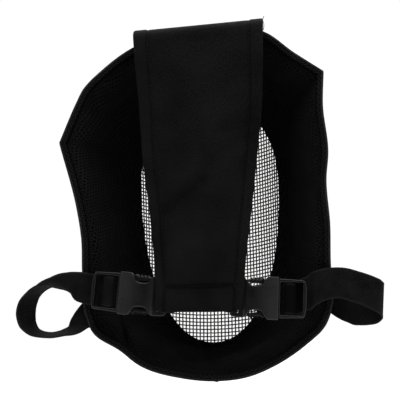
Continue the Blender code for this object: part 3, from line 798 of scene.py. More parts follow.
def grown(name, guide_object, tree, values):
    """Runs a tree on a guide, and gives its result as a plain mesh object. The guide is removed."""
    modifier = guide_object.modifiers.new("grow", "NODES")
    modifier.node_group = tree
    for item in tree.interface.items_tree:
        if item.name in values:
            modifier[item.identifier] = values[item.name]
    mesh = made_by_modifiers(guide_object)
    bpy.data.objects.remove(guide_object)
    mesh.name = name
    mesh.shade_smooth()
    return new_object(name, mesh)


print("a tree takes:", list(SOCKETS.values()))

# %% The tree that weaves the wires
WIRES = {
    "Pitch": 3.2 * MM, "Radius": 0.6 * MM, "Crimp": 0.5 * MM, "Sag": 1.95, "Lean": WINDOW_LEAN,
    "Bend": 74 * MM, "Centre": tuple(seat(WINDOW_CENTRE).tolist()), "Finish": WIRE_PAINT,
}
COLUMNS_EACH_SIDE = 29
ROWS_UP = 28
ROWS_DOWN = 46
WIRE_SIDES = 6


def wire_family(tree, given, low, high, first, count, upright):
    """Flat parallel wires, crimped, sagged and leaned, on the guide surface.

    Each runs from low to high pitches, and the first of them lies first pitches aside.
    """
    pitch, bend = given["Pitch"], given["Bend"]
    along, aside = ((0, 0, 1), (1, 0, 0)) if upright else ((1, 0, 0), (0, 0, 1))
    start, end, first = (
        add(tree, "VectorMath SCALE", way, {"Scale": add(tree, "Math MULTIPLY", pitch, steps)})
        for way, steps in ((along, low), (along, high), (aside, first))
    )
    step = add(tree, "VectorMath SCALE", aside, {"Scale": pitch})
    line = add(tree, "GeometryNodeCurvePrimitiveLine", {"Start": start, "End": end})
    fine = add(tree, "GeometryNodeResampleCurve", {"Curve": line, "Count": 2 * (high - low) + 1})
    spots = add(tree, "GeometryNodeMeshLine", {"Count": count, "Start Location": first, "Offset": step})
    laid = add(tree, "GeometryNodeInstanceOnPoints", {"Points": spots, "Instance": fine})
    wires = add(tree, "GeometryNodeRealizeInstances", laid)

    axes = add(tree, "SeparateXYZ", add(tree, "GeometryNodeInputPosition")).outputs
    turns = [add(tree, "Math MULTIPLY", add(tree, "Math DIVIDE", axes[i], pitch), pi) for i in (0, 2)]
    crossing = add(tree, "Math MULTIPLY", *(add(tree, "Math COSINE", turn) for turn in turns))
    side = add(tree, "Math MULTIPLY", given["Crimp"], 1.0 if upright else -1.0)
    lift = add(tree, "Math MULTIPLY", crossing, side)
    bent_x = add(tree, "Math MULTIPLY", add(tree, "Math SINE", add(tree, "Math DIVIDE", axes[0], bend)), bend)
    sag = add(tree, "Math MULTIPLY", add(tree, "Math MULTIPLY", bent_x, bent_x), given["Sag"])
    bent = add(tree, "CombineXYZ", {"X": bent_x, "Z": add(tree, "Math ADD", axes[2], sag)})
    leaned = add(tree, "VectorRotate", bent, {"Axis": (0, 1, 0), "Angle": given["Lean"]})
    ready = add(tree, "VectorMath ADD", leaned, given["Centre"])
    aim = {"Source Position": ready, "Ray Direction": (0, 1, 0), "Ray Length": 1.0}
    ray = add(tree, "GeometryNodeRaycast", {"Target Geometry": given["Guide"], **aim}).outputs
    missed = add(tree, "FunctionNodeBooleanMath NOT", ray["Is Hit"])
    kept = add(tree, "GeometryNodeDeleteGeometry", wires, missed, domain="POINT")
    raised = add(tree, "VectorMath SCALE", ray["Hit Normal"], {"Scale": lift})
    target = add(tree, "VectorMath ADD", ray["Hit Position"], raised)
    placed = add(tree, "GeometryNodeSetPosition", {"Geometry": kept, "Position": target})
    rod = add(tree, "GeometryNodeCurvePrimitiveCircle", {"Resolution": WIRE_SIDES, "Radius": given["Radius"]})
    return add(tree, "GeometryNodeCurveToMesh", {"Curve": placed, "Profile Curve": rod, "Fill Caps": True})


def wire_tree():
    tree, given = new_tree("woven_wire_cloth", WIRES)
    wide, high = 2 * COLUMNS_EACH_SIDE + 1, ROWS_UP + ROWS_DOWN + 1
    uprights = wire_family(tree, given, -ROWS_DOWN, ROWS_UP, -COLUMNS_EACH_SIDE, wide, True)
    levels = wire_family(tree, given, -COLUMNS_EACH_SIDE, COLUMNS_EACH_SIDE, -ROWS_DOWN, high, False)
    both = add(tree, "GeometryNodeJoinGeometry", uprights)
    tree.links.new(levels.outputs[0], both.inputs[0])
    return finish_tree(tree, given, both)


print("wires:", 2 * COLUMNS_EACH_SIDE + 1, "upright and", ROWS_UP + ROWS_DOWN + 1, "level")

# %% Weave the window
wire_window = grown("wire_mesh_window", guide, wire_tree(), WIRES)
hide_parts("mesh_visor")
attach(wire_window, "root")
print("window:", len(wire_window.data.polygons), "faces")

# %% [markdown]
# ## Folds and dents of the wall
# The shell is soft, so its wall isn't as smooth as the formula. A table names
# each fold that the photograph shows: where on the rim it starts, how far in it
# runs, how wide it is and how far it stands up, with a valley as a minus. A
# second table holds the ridges that run along the wall, the same way round as
# the rim. Cover and lining share both, so the wall keeps its thickness.

# %% Fold tables
FOLDS = table(
    "name section drift start end width height",
    ("ear_valley", 23.0, -0.30, 4, 95, 12, -1.0), ("ear_ridge_low", 22.55, -0.10, 6, 80, 12, 0.6),
    ("ear_ridge_high", 23.6, 0.10, 8, 80, 12, 0.5), ("cheek_left_fold", 21.9, 0.15, 12, 100, 8, -1.2),
    ("side_left_fold", 20.7, 0.0, 6, 70, 12, 1.3), ("jaw_left_fold", 18.3, 0.2, 4, 60, 8, -1.8),
    ("chin_left_crease", 16.76, 3.2, 3, 60, 4.6, -3.6), ("chin_left_swell", 15.6, 0.0, 8, 70, 14, 1.4),
    ("chin_right_swell", 12.2, 0.0, 8, 70, 14, 1.2), ("jaw_right_fold", 10.3, -0.2, 4, 60, 8, -1.8),
    ("side_right_fold", 7.8, 0.0, 6, 80, 12, 1.2), ("dent_right_fold", 6.0, 0.25, 2, 90, 9, -2.2),
    ("cheek_right_swell", 5.2, 0.0, 6, 90, 12, 1.4), ("corner_right_valley", 3.0, 0.35, 3, 95, 12, -1.2),
    ("corner_right_swell", 3.9, 0.1, 8, 90, 14, 1.0), ("shoulder_right_fold", 2.2, 0.0, 8, 80, 10, 1.0),
    ("temple_left_fold", 24.6, 0.1, 6, 80, 11, -1.2),
)
RIDGES = table(
    "name start end inward width height",
    ("left_pad_edge", 20.6, 23.6, 46, 6, 0.5), ("right_pad_edge", 4.6, 8.4, 60, 9, 0.6),
    ("chin_pad_edge", 12.0, 16.6, 30, 8, 0.6),
)
print(len(FOLDS), "folds and", len(RIDGES), "ridges")

# %% A layer of the wall
FOLD_RISE_MM = 14
FOLD_FALL_MM = 30
FOLDS_FROM_WINDOW = (4 * MM, 22 * MM)
RIDGE_WANDER = 4 * MM
RIDGE_CORE = 0.6
LUMP = 0.5 * MM
LUMPS_FROM_RIM = (5 * MM, 30 * MM)
CORNER_EASE = 10 * MM
EASE_FROM_RIM = (2 * MM, 26 * MM)
EASE_FROM_WINDOW = (2 * MM, 20 * MM)


def softened(field, passes, joined=True, across=True):
    """A grid averaged with its neighbours, round the mask where joined, and across it."""
    for _ in range(passes):
        if joined:
            field = (np.roll(field, 1, 0) + 2 * field + np.roll(field, -1, 0)) / 4
        if across:
            inner = (field[:, :-2] + 2 * field[:, 1:-1] + field[:, 2:]) / 4
            field = np.concatenate([field[:, :1], inner, field[:, -1:]], 1)
    return field


def round_rim(places, section):
    """Signed edge length from a section of the rim to each place."""
    half = len(RIM) / 2
    return ((places - section + half) % len(RIM) - half) * EDGE_LENGTH / len(RIM)


class Layer:
    """A grid on the wall: its points and normals, and how far each point is from rim and window."""

    def __init__(self, wall, from_rim_mm, steps, from_window_mm):
        self.places = wall.places[:, None]
        self.shares = wall.shares(from_rim_mm, steps, from_window_mm)
        sharp = wall.points(self.shares)
        rows = lengths(np.diff(sharp, axis=1))[..., 0]
        start = np.full((len(rows), 1), from_rim_mm[0] * MM)
        self.from_rim = np.cumsum(np.concatenate([start, rows], 1), 1)
        self.from_window = self.from_rim[:, -1:] - self.from_rim
        # The rim's sharp corners fade into the wall within a few centimetres, as soft cloth rounds them.
        soft = softened(sharp, round(2 * (CORNER_EASE * len(sharp) / EDGE_LENGTH) ** 2), across=False)
        share = ramp(self.from_rim, *EASE_FROM_RIM) * ramp(self.from_window, *EASE_FROM_WINDOW)
        self.points = sharp + (soft - sharp) * share[..., None]
        self.inward = wall.inward(self.shares)
        normals = unit(np.cross(np.roll(self.points, -1, 0) - np.roll(self.points, 1, 0), self.inward))
        outward = (self.points - WINDOW_CENTRE) * (1, 0, 1)
        self.normals = normals * np.sign(np.sum(normals * outward))
        self.fade = ramp(self.from_window, *FOLDS_FROM_WINDOW)
        self.folds = self._folds()

    def fold_share(self, fold):
        """How fully a fold acts at each point, from 0 to 1."""
        away = round_rim(self.places, fold.section + fold.drift * self.shares)
        span = ramp(self.from_rim, fold.start * MM, (fold.start + FOLD_RISE_MM) * MM)
        span = span * (1 - ramp(self.from_rim, (fold.end - FOLD_FALL_MM) * MM, fold.end * MM))
        return hump(away, fold.width * MM) * span * self.fade

    def _folds(self):
        """How far the wall stands in towards the head at each point, from the fold tables."""
        total = sum(fold.height * MM * self.fold_share(fold) for fold in FOLDS)
        wander = RIDGE_WANDER * np.sin(self.places * 2.1)
        for ridge in RIDGES:
            middle, half = (ridge.start + ridge.end) / 2, (ridge.end - ridge.start) / 2
            span = (1 - ramp(np.abs(self.places - middle), half * RIDGE_CORE, half)) * self.fade
            away = self.from_rim - ridge.inward * MM - wander
            total += ridge.height * MM * hump(away, ridge.width * MM) * span
        lump = np.sin(self.places * 3.7 + self.shares * 5) * np.sin(self.places * 1.3 - self.shares * 11)
        return total + LUMP * lump * ramp(self.from_rim, *LUMPS_FROM_RIM) * self.fade

    def at(self, depth):
        """Points depth inside the outer face, folds included."""
        return self.points - self.normals * (depth + self.folds)[..., None]


AROUND = 380
around_m = np.linspace(0, EDGE_LENGTH, AROUND + 1)
wall = Wall(even_places(AROUND)[0])
print("sections round the mask:", AROUND)

# %% [markdown]
# ## The padded lining
# The lining is a springy pad, held flat where it is sewn at the rim and round the
# window, and free to swell between. That is a job for cloth physics: a coarse
# sheet is pinned along both seams, made a little too large and blown off the
# wall, and it finds its own soft pillows and wrinkles. Only how far each point
# moved off the wall is kept, so the fine lining can never pass through the cover.

# %% Let the lining swell
STITCH_IN_MM = 4.0
STITCH_IN = STITCH_IN_MM * MM
MARGIN_SEAM_MM = 8.5
LINING_THICK = 3.5 * MM
LINING_SEWN = 2.0 * MM
LINING_AT_RIM = 2.9 * MM
BESIDE_COVER = COVER_THICK + GAP
OVER_MESH = BESIDE_COVER + MESH_THICK + MESH_CLEAR
SWELL_AROUND = 200
SWELL_STEPS = 30
SWELL_FRAMES = 20
SWELL = {
    "quality": 6, "mass": 0.3, "tension_stiffness": 15, "compression_stiffness": 15, "bending_stiffness": 3,
    "use_pressure": True, "uniform_pressure_force": 4.0, "shrink_min": -0.035,
}
SWELL_SHAKE = 0.3
SWELL_CAP = 3.5 * MM
SWELL_DIP = -0.3 * MM


def swollen_wall():
    """How far the padding stands off the wall on a coarse grid, one row for each section."""
    layer = Layer(Wall(even_places(SWELL_AROUND)[0]), (STITCH_IN_MM,), SWELL_STEPS, (MARGIN_SEAM_MM,))
    start = layer.at(BESIDE_COVER + LINING_THICK)
    count, size = start.shape[:2]
    shaken = start - layer.normals * np.random.default_rng(SEED).uniform(0, SWELL_SHAKE, (count, size, 1)) * MM
    faces = quads(count, size, joined_rows=True)
    cloth = add_piece("swelling_cloth", shaken.reshape(-1, 3), faces.tolist(), KNIT)
    if np.dot(cloth.data.polygons[size // 2].normal, layer.normals[0, size // 2]) > 0:
        cloth.data.flip_normals()
    seams = cloth.vertex_groups.new(name="seams")
    seams.add([row * size + end for row in range(count) for end in (0, size - 1)], 1.0, "REPLACE")
    swell = cloth.modifiers.new("swell", "CLOTH")
    for setting, value in SWELL.items():
        setattr(swell.settings, setting, value)
    swell.settings.effector_weights.gravity = 0
    swell.settings.vertex_group_mass = seams.name
    swell.point_cache.frame_end = SWELL_FRAMES
    for number in range(1, SWELL_FRAMES + 1):
        bpy.context.scene.frame_set(number)
    end = np.empty(count * size * 3, np.float32)
    cloth.evaluated_get(bpy.context.evaluated_depsgraph_get()).data.vertices.foreach_get("co", end)
    bpy.context.scene.frame_set(1)
    bpy.data.objects.remove(cloth)
    off = -np.sum((end.reshape(count, size, 3) - seat(start)) * layer.normals, -1)
    print("swell in mm: middle", round(float(np.median(off)) / MM, 2), "most", round(float(off.max()) / MM, 2))
    return np.maximum(SWELL_CAP * np.tanh(off / SWELL_CAP), SWELL_DIP)


def spread_over(field, layer):
    """The coarse grid's numbers at each point of a finer layer, and 0 outside the seams."""
    limits = wall.shares((STITCH_IN_MM,), 1, (MARGIN_SEAM_MM,))
    share = (layer.shares - limits[:, :1]) / (limits[:, 1:] - limits[:, :1])
    across = np.clip(share, 0, 1) * (field.shape[1] - 1)
    along = (np.arange(len(share)) / len(share) * len(field))[:, None]
    n0, k0 = np.floor(along).astype(int), np.minimum(np.floor(across).astype(int), field.shape[1] - 2)
    n1 = (n0 + 1) % len(field)
    s, t = along - n0, across - k0
    near, far = (field[n0, k] * (1 - s) + field[n1, k] * s for k in (k0, k0 + 1))
    return (near * (1 - t) + far * t) * ((share > 0) & (share < 1))


swell_field = softened(swollen_wall(), 1)

# %% Sew the lining
LINING_RIM_MM = (0.1, 0.3, 0.6, 1.0, 1.5, 2.2, 2.8, 3.3, 3.7, 4.0, 4.3, 4.8, 5.6, 6.8, 8.5, 10.5)
LINING_WINDOW_MM = (16.0, 13.5, 11.5, 9.6, 8.6, 8.0, 7.2, 6.0, 4.5, 3.0, 1.6, 0.7, 0.15)
LINING_STEPS = 44
GROOVE = 1.5 * MM
GROOVE_HALF = 1.3 * MM
MARGIN_GROOVE = 0.5 * GROOVE
MARGIN_GROOVE_HALF = 1.0 * MM
BEAD_FROM_RIM = (2 * MM, STITCH_IN)
PAD_FROM_RIM = (STITCH_IN, 10 * MM)
PAD_FROM_WINDOW = (8 * MM, 16 * MM)
MESH_FROM_WINDOW = (8.0 * MM, 9.6 * MM)
LINING_EDGE = 1.5 * MM
LINING_CUT = 0.1 * MM
COVER_HEM = 0.5 * MM
HEM_CLEAR = 0.2 * MM
HEM_REACH_MM = 1.2
BACK_COLUMNS = 3
# SEAM_DARK is painted shade in the rim seam's groove; EDGE_DARK only picks the smaller knit cells near the rim.
SEAM_DARK = 0.85
SEAM_DARK_MIDDLE = STITCH_IN + 0.6 * MM
SEAM_DARK_HALF = 1.7 * GROOVE_HALF
EDGE_DARK = 0.4
EDGE_DARK_FROM_RIM = (STITCH_IN + 3 * MM, STITCH_IN + 8 * MM)

layer = lining_layer = Layer(wall, LINING_RIM_MM, LINING_STEPS, LINING_WINDOW_MM)
outer = BESIDE_COVER + (OVER_MESH - BESIDE_COVER) * (1 - ramp(layer.from_window, *MESH_FROM_WINDOW))
padding = ramp(layer.from_rim, *PAD_FROM_RIM) * ramp(layer.from_window, *PAD_FROM_WINDOW)
thick = LINING_SEWN + (LINING_THICK - LINING_SEWN) * padding
thick += (LINING_AT_RIM - LINING_SEWN) * (1 - ramp(layer.from_rim, *BEAD_FROM_RIM))
thick -= GROOVE * hump(layer.from_rim - STITCH_IN, GROOVE_HALF)
thick -= MARGIN_GROOVE * hump(layer.from_window - MARGIN_SEAM_MM * MM, MARGIN_GROOVE_HALF)
thick *= rounded(np.minimum(layer.from_rim, layer.from_window + LINING_CUT), LINING_EDGE, 0.9)
hem_end = 1 - ramp(layer.from_rim, HEM_REACH_MM * MM, 2 * HEM_REACH_MM * MM)
outer += (COVER_HEM + HEM_CLEAR - GAP) * hem_end
lining_inner = outer + thick + softened(spread_over(swell_field, layer), 2)
rings = np.concatenate([layer.at(outer)[:, ::BACK_COLUMNS][:, ::-1], layer.at(lining_inner)], 1)
lining = closed_ring("padded_lining", rings, around_m, KNIT)
# Painted shade along the seam groove and the chin crease, in one mark with the rim's smaller cells.
sewn = EDGE_DARK * (1 - ramp(layer.from_rim, *EDGE_DARK_FROM_RIM))
sewn = np.maximum(sewn, SEAM_DARK * hump(layer.from_rim - SEAM_DARK_MIDDLE, SEAM_DARK_HALF))
crease = next(fold for fold in FOLDS if fold.name == "chin_left_crease")
sewn = np.maximum(sewn, layer.fold_share(crease))
mark(lining, RIM_CELLS_AND_PAINTED_SHADE, np.concatenate([sewn[:, ::BACK_COLUMNS][:, ::-1], sewn], 1))
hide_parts("shell_lining")
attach(lining, "root")
print("lining:", len(lining.data.polygons), "faces")

# %% [markdown]
# ## The cover
# The outer wall is one layer of pack cloth. At the rim its edge is turned in
# against the lining, which makes the slim light line that the photograph shows
# all round the opening. A band of the same cloth holds the wire window's edge
# from outside, and the two halves of the shell meet in a seam at the chin. Each
# cross-section runs out over the wall, round the rim, in as the hem and back
# inside.

# %% Fold the cover over its rim
EDGE_ROLL = 0.7 * MM
EDGE_PUCKER = 0.2 * MM
PUCKER_RATE = 47
ROLL_STEPS = 10
COVER_RIM_MM = (1.2, 2.4, 3.3, 3.7, 4.0, 4.3, 4.7, 6.0, 9.0)
COVER_WINDOW_MM = (16.0, 13.4, 12.4, 11.6, 9.0, 6.0, 3.0, 1.2, 0.4, 0.0)
COVER_STEPS = 26
BAND_WIDTH = 12.0 * MM
BAND_STEP = 1.0 * MM
BAND_SEAM = 10.0 * MM
BAND_THICK = 0.7 * MM
SEAM_HEIGHT = 0.9 * MM
SEAM_HALF = 1.6 * MM
COVER_GROOVE = 0.35 * MM
COVER_GROOVE_HALF = 0.7 * MM
COVER_CUT = 0.8 * MM
COVER_CUT_REACH = 1.2 * MM
HEM_HIGHLIGHT = 0.6

layer = cover_layer = Layer(wall, COVER_RIM_MM, COVER_STEPS, COVER_WINDOW_MM)
from_chin = round_rim(wall.places, RIM_NAMES.index("chin"))
lifted = BAND_THICK * (1 - ramp(layer.from_window, BAND_WIDTH - BAND_STEP, BAND_WIDTH))
lifted = lifted + SEAM_HEIGHT * hump(from_chin, SEAM_HALF)[:, None]
for from_seam in (layer.from_rim - STITCH_IN, layer.from_window - BAND_SEAM):
    lifted = lifted - COVER_GROOVE * hump(from_seam, COVER_GROOVE_HALF)
eased = COVER_CUT * (1 - rounded(layer.from_window, COVER_CUT_REACH, 1))
outside = layer.at(eased - lifted)[:, ::-1]
inside = layer.at(COVER_THICK - 0.5 * eased)
edge = Layer(wall, (0.0, HEM_REACH_MM), 1, (0.0,))
hem_depth = COVER_THICK + COVER_HEM
bulge = (EDGE_ROLL + EDGE_PUCKER * np.sin(wall.places * PUCKER_RATE))[:, None]
turns = [pi * step / ROLL_STEPS for step in range(ROLL_STEPS + 1)]
roll = [edge.points[:, 0] - edge.normals[:, 0] * hem_depth * (1 - cos(turn)) / 2
        - edge.inward[:, 0] * bulge * sin(turn) for turn in turns]
roll += [edge.points[:, 1] - edge.normals[:, 1] * depth for depth in (hem_depth, COVER_THICK + 0.1 * MM)]
rings = np.concatenate([outside, np.stack(roll, 1), inside], 1)
cover = closed_ring("fabric_cover", rings, around_m, NYLON)
# Painted highlight: the rolled edge's cloth is drawn lighter.
hem = np.zeros(rings.shape[:2])
hem[:, outside.shape[1] + 2:outside.shape[1] + ROLL_STEPS - 1] = HEM_HIGHLIGHT
mark(cover, PAINTED_LIGHT, hem)
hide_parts("shell_cover")
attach(cover, "root")
print("cover:", len(cover.data.polygons), "faces")

# %% [markdown]
# ## The flap
# Two layers of pack cloth make a tapered flap. It is sewn flat to the shell's
# front, comes over the top rim in one soft fold and hangs across the opening.
# Its side hems show as raised strips that end at a row of stitches. Where it
# lies on the shell, a ray finds the cover under each point, so the flap rests on
# it. Where it hangs, a few soft creases and a slow ripple keep it from looking
# like card. A crease is a line in x and z, with a width and a depth away from
# the camera.

# %% The flap's tables and curves
FLAP = table(
    "name x y z half tilt hug",
    ("sewn_end", 6, 62, 152, 50, 0, 1), ("sewn", 6, 48, 155, 51, 0, 1), ("rising", 6, 28, 156.6, 52.5, 0, 0.4),
    ("rim", 6.2, 10, 157, 53.5, 0, 0), ("fold_top", 6.4, 0, 156.8, 54, 0.4, 0),
    ("fold_front", 6.4, -7.5, 152.5, 54, 0.6, 0), ("hang_1", 6, -11, 140, 53.2, 0.4, 0),
    ("hang_2", 3.6, -12, 82, 50.2, 0, 0), ("hang_3", 0.4, -12.4, 45, 46.8, -0.5, 0),
    ("hang_4", -2, -13, 7, 42, -1.2, 0), ("hang_5", -5, -13.9, -28, 38, -2, 0),
    ("hem_top", -7.4, -14.9, -54, 35.8, -2.7, 0), ("hem_bottom", -10.2, -15, -77.2, 35.2, -3.1, 0),
)
CREASES = table(
    "x0 z0 x1 z1 width depth",
    (33.9, 57.4, 3.0, 30.0, 7.5, 2.4), (-1.1, 26.0, -31.4, 4.1, 6.5, 3.2), (30.0, 45.0, -4.0, 14.0, 8.0, -2.4),
    (-5.4, 77.3, 4.8, 38.6, 9.0, 1.8), (-34.0, 78.0, -12.0, 66.0, 6.0, 1.2), (22.0, 66.0, 44.0, 70.0, 5.0, 1.8),
    (-20.0, -8.0, 14.0, -22.0, 8.0, 1.2), (-34.0, -52.0, -16.0, -34.0, 6.0, 1.2),
    (20.0, -56.0, 8.0, -36.0, 6.0, 1.2),
)
FLAP_EDGE_SHARES = (0, 0.012, 0.03, 0.06, 0.11, 0.15, 0.18, 0.195, 0.21, 0.225, 0.25, 0.29)
FLAP_MIDDLE_COLUMNS = 28
FLAP_SAG = 1.5 * MM
FLAP_CLEAR = 0.9 * MM
FLAP_HALF_THICK = 1.0 * MM
FLAP_PITCH = 1.3 * MM
FLAP_RESTS_FROM_Y = 4 * MM
LEAST_FACING = 0.5
TAPER_SMOOTH = 30
RELAXED = 14
RIPPLE = 1.2 * MM
SIDE_HEM = (7.0 * MM, 11.5 * MM)
SIDE_HEM_RUN = 230 * MM
END_HEM = 19.5 * MM
HEM_RAISE = 0.45 * MM
HEM_STEP = 0.8 * MM
STITCH_GROOVE = 0.7 * MM
FLAP_EDGE = 1.4 * MM
HANGS_FROM_Y = (8 * MM, 11 * MM)
FLAT_FROM_END = (2 * MM, 12 * MM)
# Painted shade at the hem seams and in the deepest creases.
DEEP_CREASE = 3.0
CREASE_DARK = 0.2
SIDE_DARK, SIDE_DARK_HALF = 0.45, 1.0 * MM
END_DARK, END_DARK_HALF = 1.1, 1.2 * MM
# Painted highlight along the crest of the fold.
CREST_HIGHLIGHT, CREST_HALF = 0.85, 4 * MM


print("flap:", len(FLAP), "sections and", len(CREASES), "creases")

# %% The flap's middle surface


def crease_hump(x, z, crease):
    """1 on a crease's line, falling away over its width."""
    ax, az, bx, bz = (v * MM for v in crease[:4])
    t = np.clip(((x - ax) * (bx - ax) + (z - az) * (bz - az)) / ((bx - ax) ** 2 + (bz - az) ** 2), 0, 1)
    return hump(np.hypot(x - ax - t * (bx - ax), z - az - t * (bz - az)), crease.width * MM)


def resting_height(tree, point):
    """How high above a piece the flap's middle lies at a point, or None where there is nothing below."""
    hit, facing, _, _ = tree.ray_cast(Vector(seat(point + (0, 0, 1))), Vector((0, 0, -1)))
    stand = FLAP_CLEAR + FLAP_HALF_THICK + HEM_RAISE
    return hit and hit.z + SEAT[2] + stand / max(facing.z, LEAST_FACING)


def flap_grid():
    """The flap's middle surface, its half width at each row and its run from the sewn end."""
    mesh = cover.data
    cover_tree = BVHTree.FromPolygons([v.co for v in mesh.vertices], [p.vertices for p in mesh.polygons])
    centres, places = smooth_path([(row.x * MM, row.y * MM, row.z * MM) for row in FLAP], FLAP_PITCH)
    half, tilt, hug = between([(row.half * MM, radians(row.tilt), row.hug) for row in FLAP], places).T
    half, tilt = softened(np.stack([half, tilt]), TAPER_SMOOTH, joined=False)
    low = np.clip(places - (len(FLAP) - 2), 0, 1)[:, None]
    x = centres[:, :1] + flap_across * (half * np.cos(tilt))[:, None]
    z = centres[:, 2:] + flap_across * (half * np.sin(tilt))[:, None] - FLAP_SAG * low * (1 - flap_across**2)
    grid = np.stack([x, np.tile(centres[:, 1:2], len(flap_across)), z], -1)
    for row in np.flatnonzero(centres[:, 1] > FLAP_RESTS_FROM_Y):
        for point in grid[row]:
            resting = resting_height(cover_tree, point)
            if resting:
                point[2] = max(resting, resting * hug[row] + point[2] * (1 - hug[row]))
    relaxed = softened(softened(grid[..., 2], RELAXED, joined=False).T, RELAXED, joined=False).T
    grid[..., 2] = np.maximum(grid[..., 2], relaxed)
    return grid, half[:, None], run_along(centres)[:, None]


flap_side = np.array(FLAP_EDGE_SHARES) - 1
flap_across = np.linspace(flap_side[-1], -flap_side[-1], FLAP_MIDDLE_COLUMNS)[1:-1]
flap_across = np.concatenate([flap_side, flap_across, -flap_side[::-1]])
flap_middle, flap_half, flap_run = flap_grid()
from_side = (1 - np.abs(flap_across)) * flap_half
from_end = flap_run[-1] - flap_run
print("flap grid:", flap_middle.shape)

# %% Hang the flap
x, y, z = np.moveaxis(flap_middle, -1, 0)
hanging = ramp(-y, *HANGS_FROM_Y) * ramp(from_end, *FLAT_FROM_END)
depth = sum(crease.depth * MM * crease_hump(x, z, crease) for crease in CREASES)
ripple = np.sin(x / (17 * MM) + z / (46 * MM)) * np.sin(z / (31 * MM) - x / (60 * MM) + 0.7)
flap_middle[..., 1] += (depth + RIPPLE * ripple) * hanging

hem_line = SIDE_HEM[0] + (SIDE_HEM[1] - SIDE_HEM[0]) * np.clip(from_end / SIDE_HEM_RUN, 0, 1)
inside_hem = ramp(from_side, hem_line, hem_line + HEM_STEP) * ramp(from_end, END_HEM, END_HEM + HEM_STEP)
seams = np.minimum(hump(from_side - hem_line, HEM_STEP) + hump(from_end - END_HEM, HEM_STEP), 1)
from_edge = np.minimum(from_side, np.minimum(from_end, flap_run))
flap_face = FLAP_HALF_THICK + HEM_RAISE * (1 - inside_hem) - STITCH_GROOVE * seams
flap = sheet_piece("head_flap_cloth", flap_middle, flap_face * rounded(from_edge, FLAP_EDGE), NYLON)
# Painted shade: the cloth is darker by the hem stitches and in the deep creases.
dark = END_DARK * hump(from_end - END_HEM, END_DARK_HALF) * (from_side > hem_line)
dark = np.maximum(SIDE_DARK * hump(from_side - hem_line, SIDE_DARK_HALF), dark)
for crease in CREASES:
    if crease.depth > DEEP_CREASE:
        dark = np.maximum(dark, CREASE_DARK * crease_hump(x, z, crease) * (y < 0))
mark(flap, RIM_CELLS_AND_PAINTED_SHADE, [dark] * 2)
# Painted highlight: the cloth is lighter along the top of the fold.
mark(flap, PAINTED_LIGHT, [CREST_HIGHLIGHT * hump(z.max(0) - z, CREST_HALF)] * 2)
print("flap:", len(flap.data.polygons), "faces, run", round(flap_run[-1, 0] / MM), "mm")

# %% [markdown]
# ## Straps and tabs
# Each strap is one length of 25 mm elastic webbing. Its sewn-back tail lies over
# the bar of the buckle's frame, it leaves under the outer rail, crosses the rim
# and loops back to a seam on the shell's outside. Elastic webbing has ribs
# across it and a rounder cord along each edge, and both are in the mesh. The
# tabs are short webbing loops that hold the buckles' sockets behind the flap.
# Inside a buckle, a place is given in mm along it, up it and towards the camera.

# %% Buckle places and strap paths
BUCKLES = dict(zip(("left", "right"), table(
    "x y z side slope",
    (-74.2, -9, -57.9, -1, radians(-10.3)), (54.9, -9, -72.8, 1, radians(-6.2)),
)))
TAB_PATH = (
    (-58, 3.0, 1.7), (-48, 1.6, 2.0), (-42, 0.3, 2.8), (-37.4, -0.3, 3.1), (-34.4, 0, 2.2), (-33.4, 0, 0),
    (-34.4, 0, -2.2), (-37.4, -0.3, -3.1), (-42, 0.3, -2.3), (-48, 1.6, -0.5), (-58, 3.0, -0.5),
)
LADDER_PATH = (
    (19.5, 0, -7.0), (13.0, 0, -6.6), (7.0, 0, -5.6), (4.3, 0, -3.4), (5.2, 0, 0.5), (8.7, 0, 1.6),
    (12.2, 0, 0.5), (15.0, 0.9, -3.2), (19.0, 3.2, -4.5), (24.0, 5.7, -4.6),
)
PULLED_UP = {"left": 0, "right": 1}
# Painted shade on the right strap's tail inside its buckle's frame.
FRAME_PAINTED_SHADE = {"left": 0, "right": 0.9}
FRAME_SHADE_RUN = (36 * MM, 42 * MM)
LOOPS = {
    "left": table(
        "name x y z wx wy wz",
        ("over_rim", -106, -7.4, -50.5, 0.15, -0.25, 0.95), ("leaving", -115, -6.4, -47.2, 0.05, -0.72, 0.66),
        ("narrowing", -125.5, -3.5, -46.6, 0, -0.92, 0.38), ("on_edge", -136.5, 0, -47.8, 0, -0.99, 0.14),
        ("turning", -145.4, 4, -52, -0.22, -0.96, 0.12), ("outer_top", -151.8, 6, -59, -0.46, -0.89, 0),
        ("outermost", -155, 8, -68.2, -0.48, -0.88, 0), ("outer_low", -154.2, 9, -77, -0.42, -0.91, -0.04),
        ("bottom_turn", -149.6, 10, -83.8, -0.23, -0.96, -0.1), ("bottom", -138, 12, -88, 0, -0.99, -0.14),
        ("returning", -126, 15, -87.2, 0, -0.97, -0.2), ("widening", -117, 18.5, -85, 0, -0.93, -0.36),
        ("behind_rim", -111.5, 24, -80.5, -0.05, -0.8, -0.6),
    ),
    "right": table(
        "name x y z wx wy wz",
        ("leaving", 84, -6.6, -67.2, 0.08, 0, 1), ("over_rim", 96, -7, -63.9, 0.1, 0, 1),
        ("arch", 105, -7.2, -64.1, 0.12, 0, 0.99), ("falling", 117, -7, -68, 0.22, 0, 0.97),
        ("nearing_fold", 127.5, -6.4, -72.6, 0.24, 0.02, 0.97), ("fold_front", 135, -3.4, -77, 0.2, 0.03, 0.98),
        ("fold", 138.2, 3, -80.6, 0.12, 0, 0.99), ("fold_back", 134.6, 9.4, -84.4, 0.08, 0, 1),
        ("returning", 126.5, 12.4, -87.2, 0, 0, 1), ("rising", 116.5, 14, -86.2, -0.1, 0, 1),
        ("behind_rim", 108, 17.5, -82.4, -0.1, 0, 1),
    ),
}
STRAP_SEAMS = {"left": ("jaw_left_top", 0.34, 0.54), "right": ("jaw_right_top", 0.3, 0.5)}
print("loops:", {side: len(rows) for side, rows in LOOPS.items()}, "places")

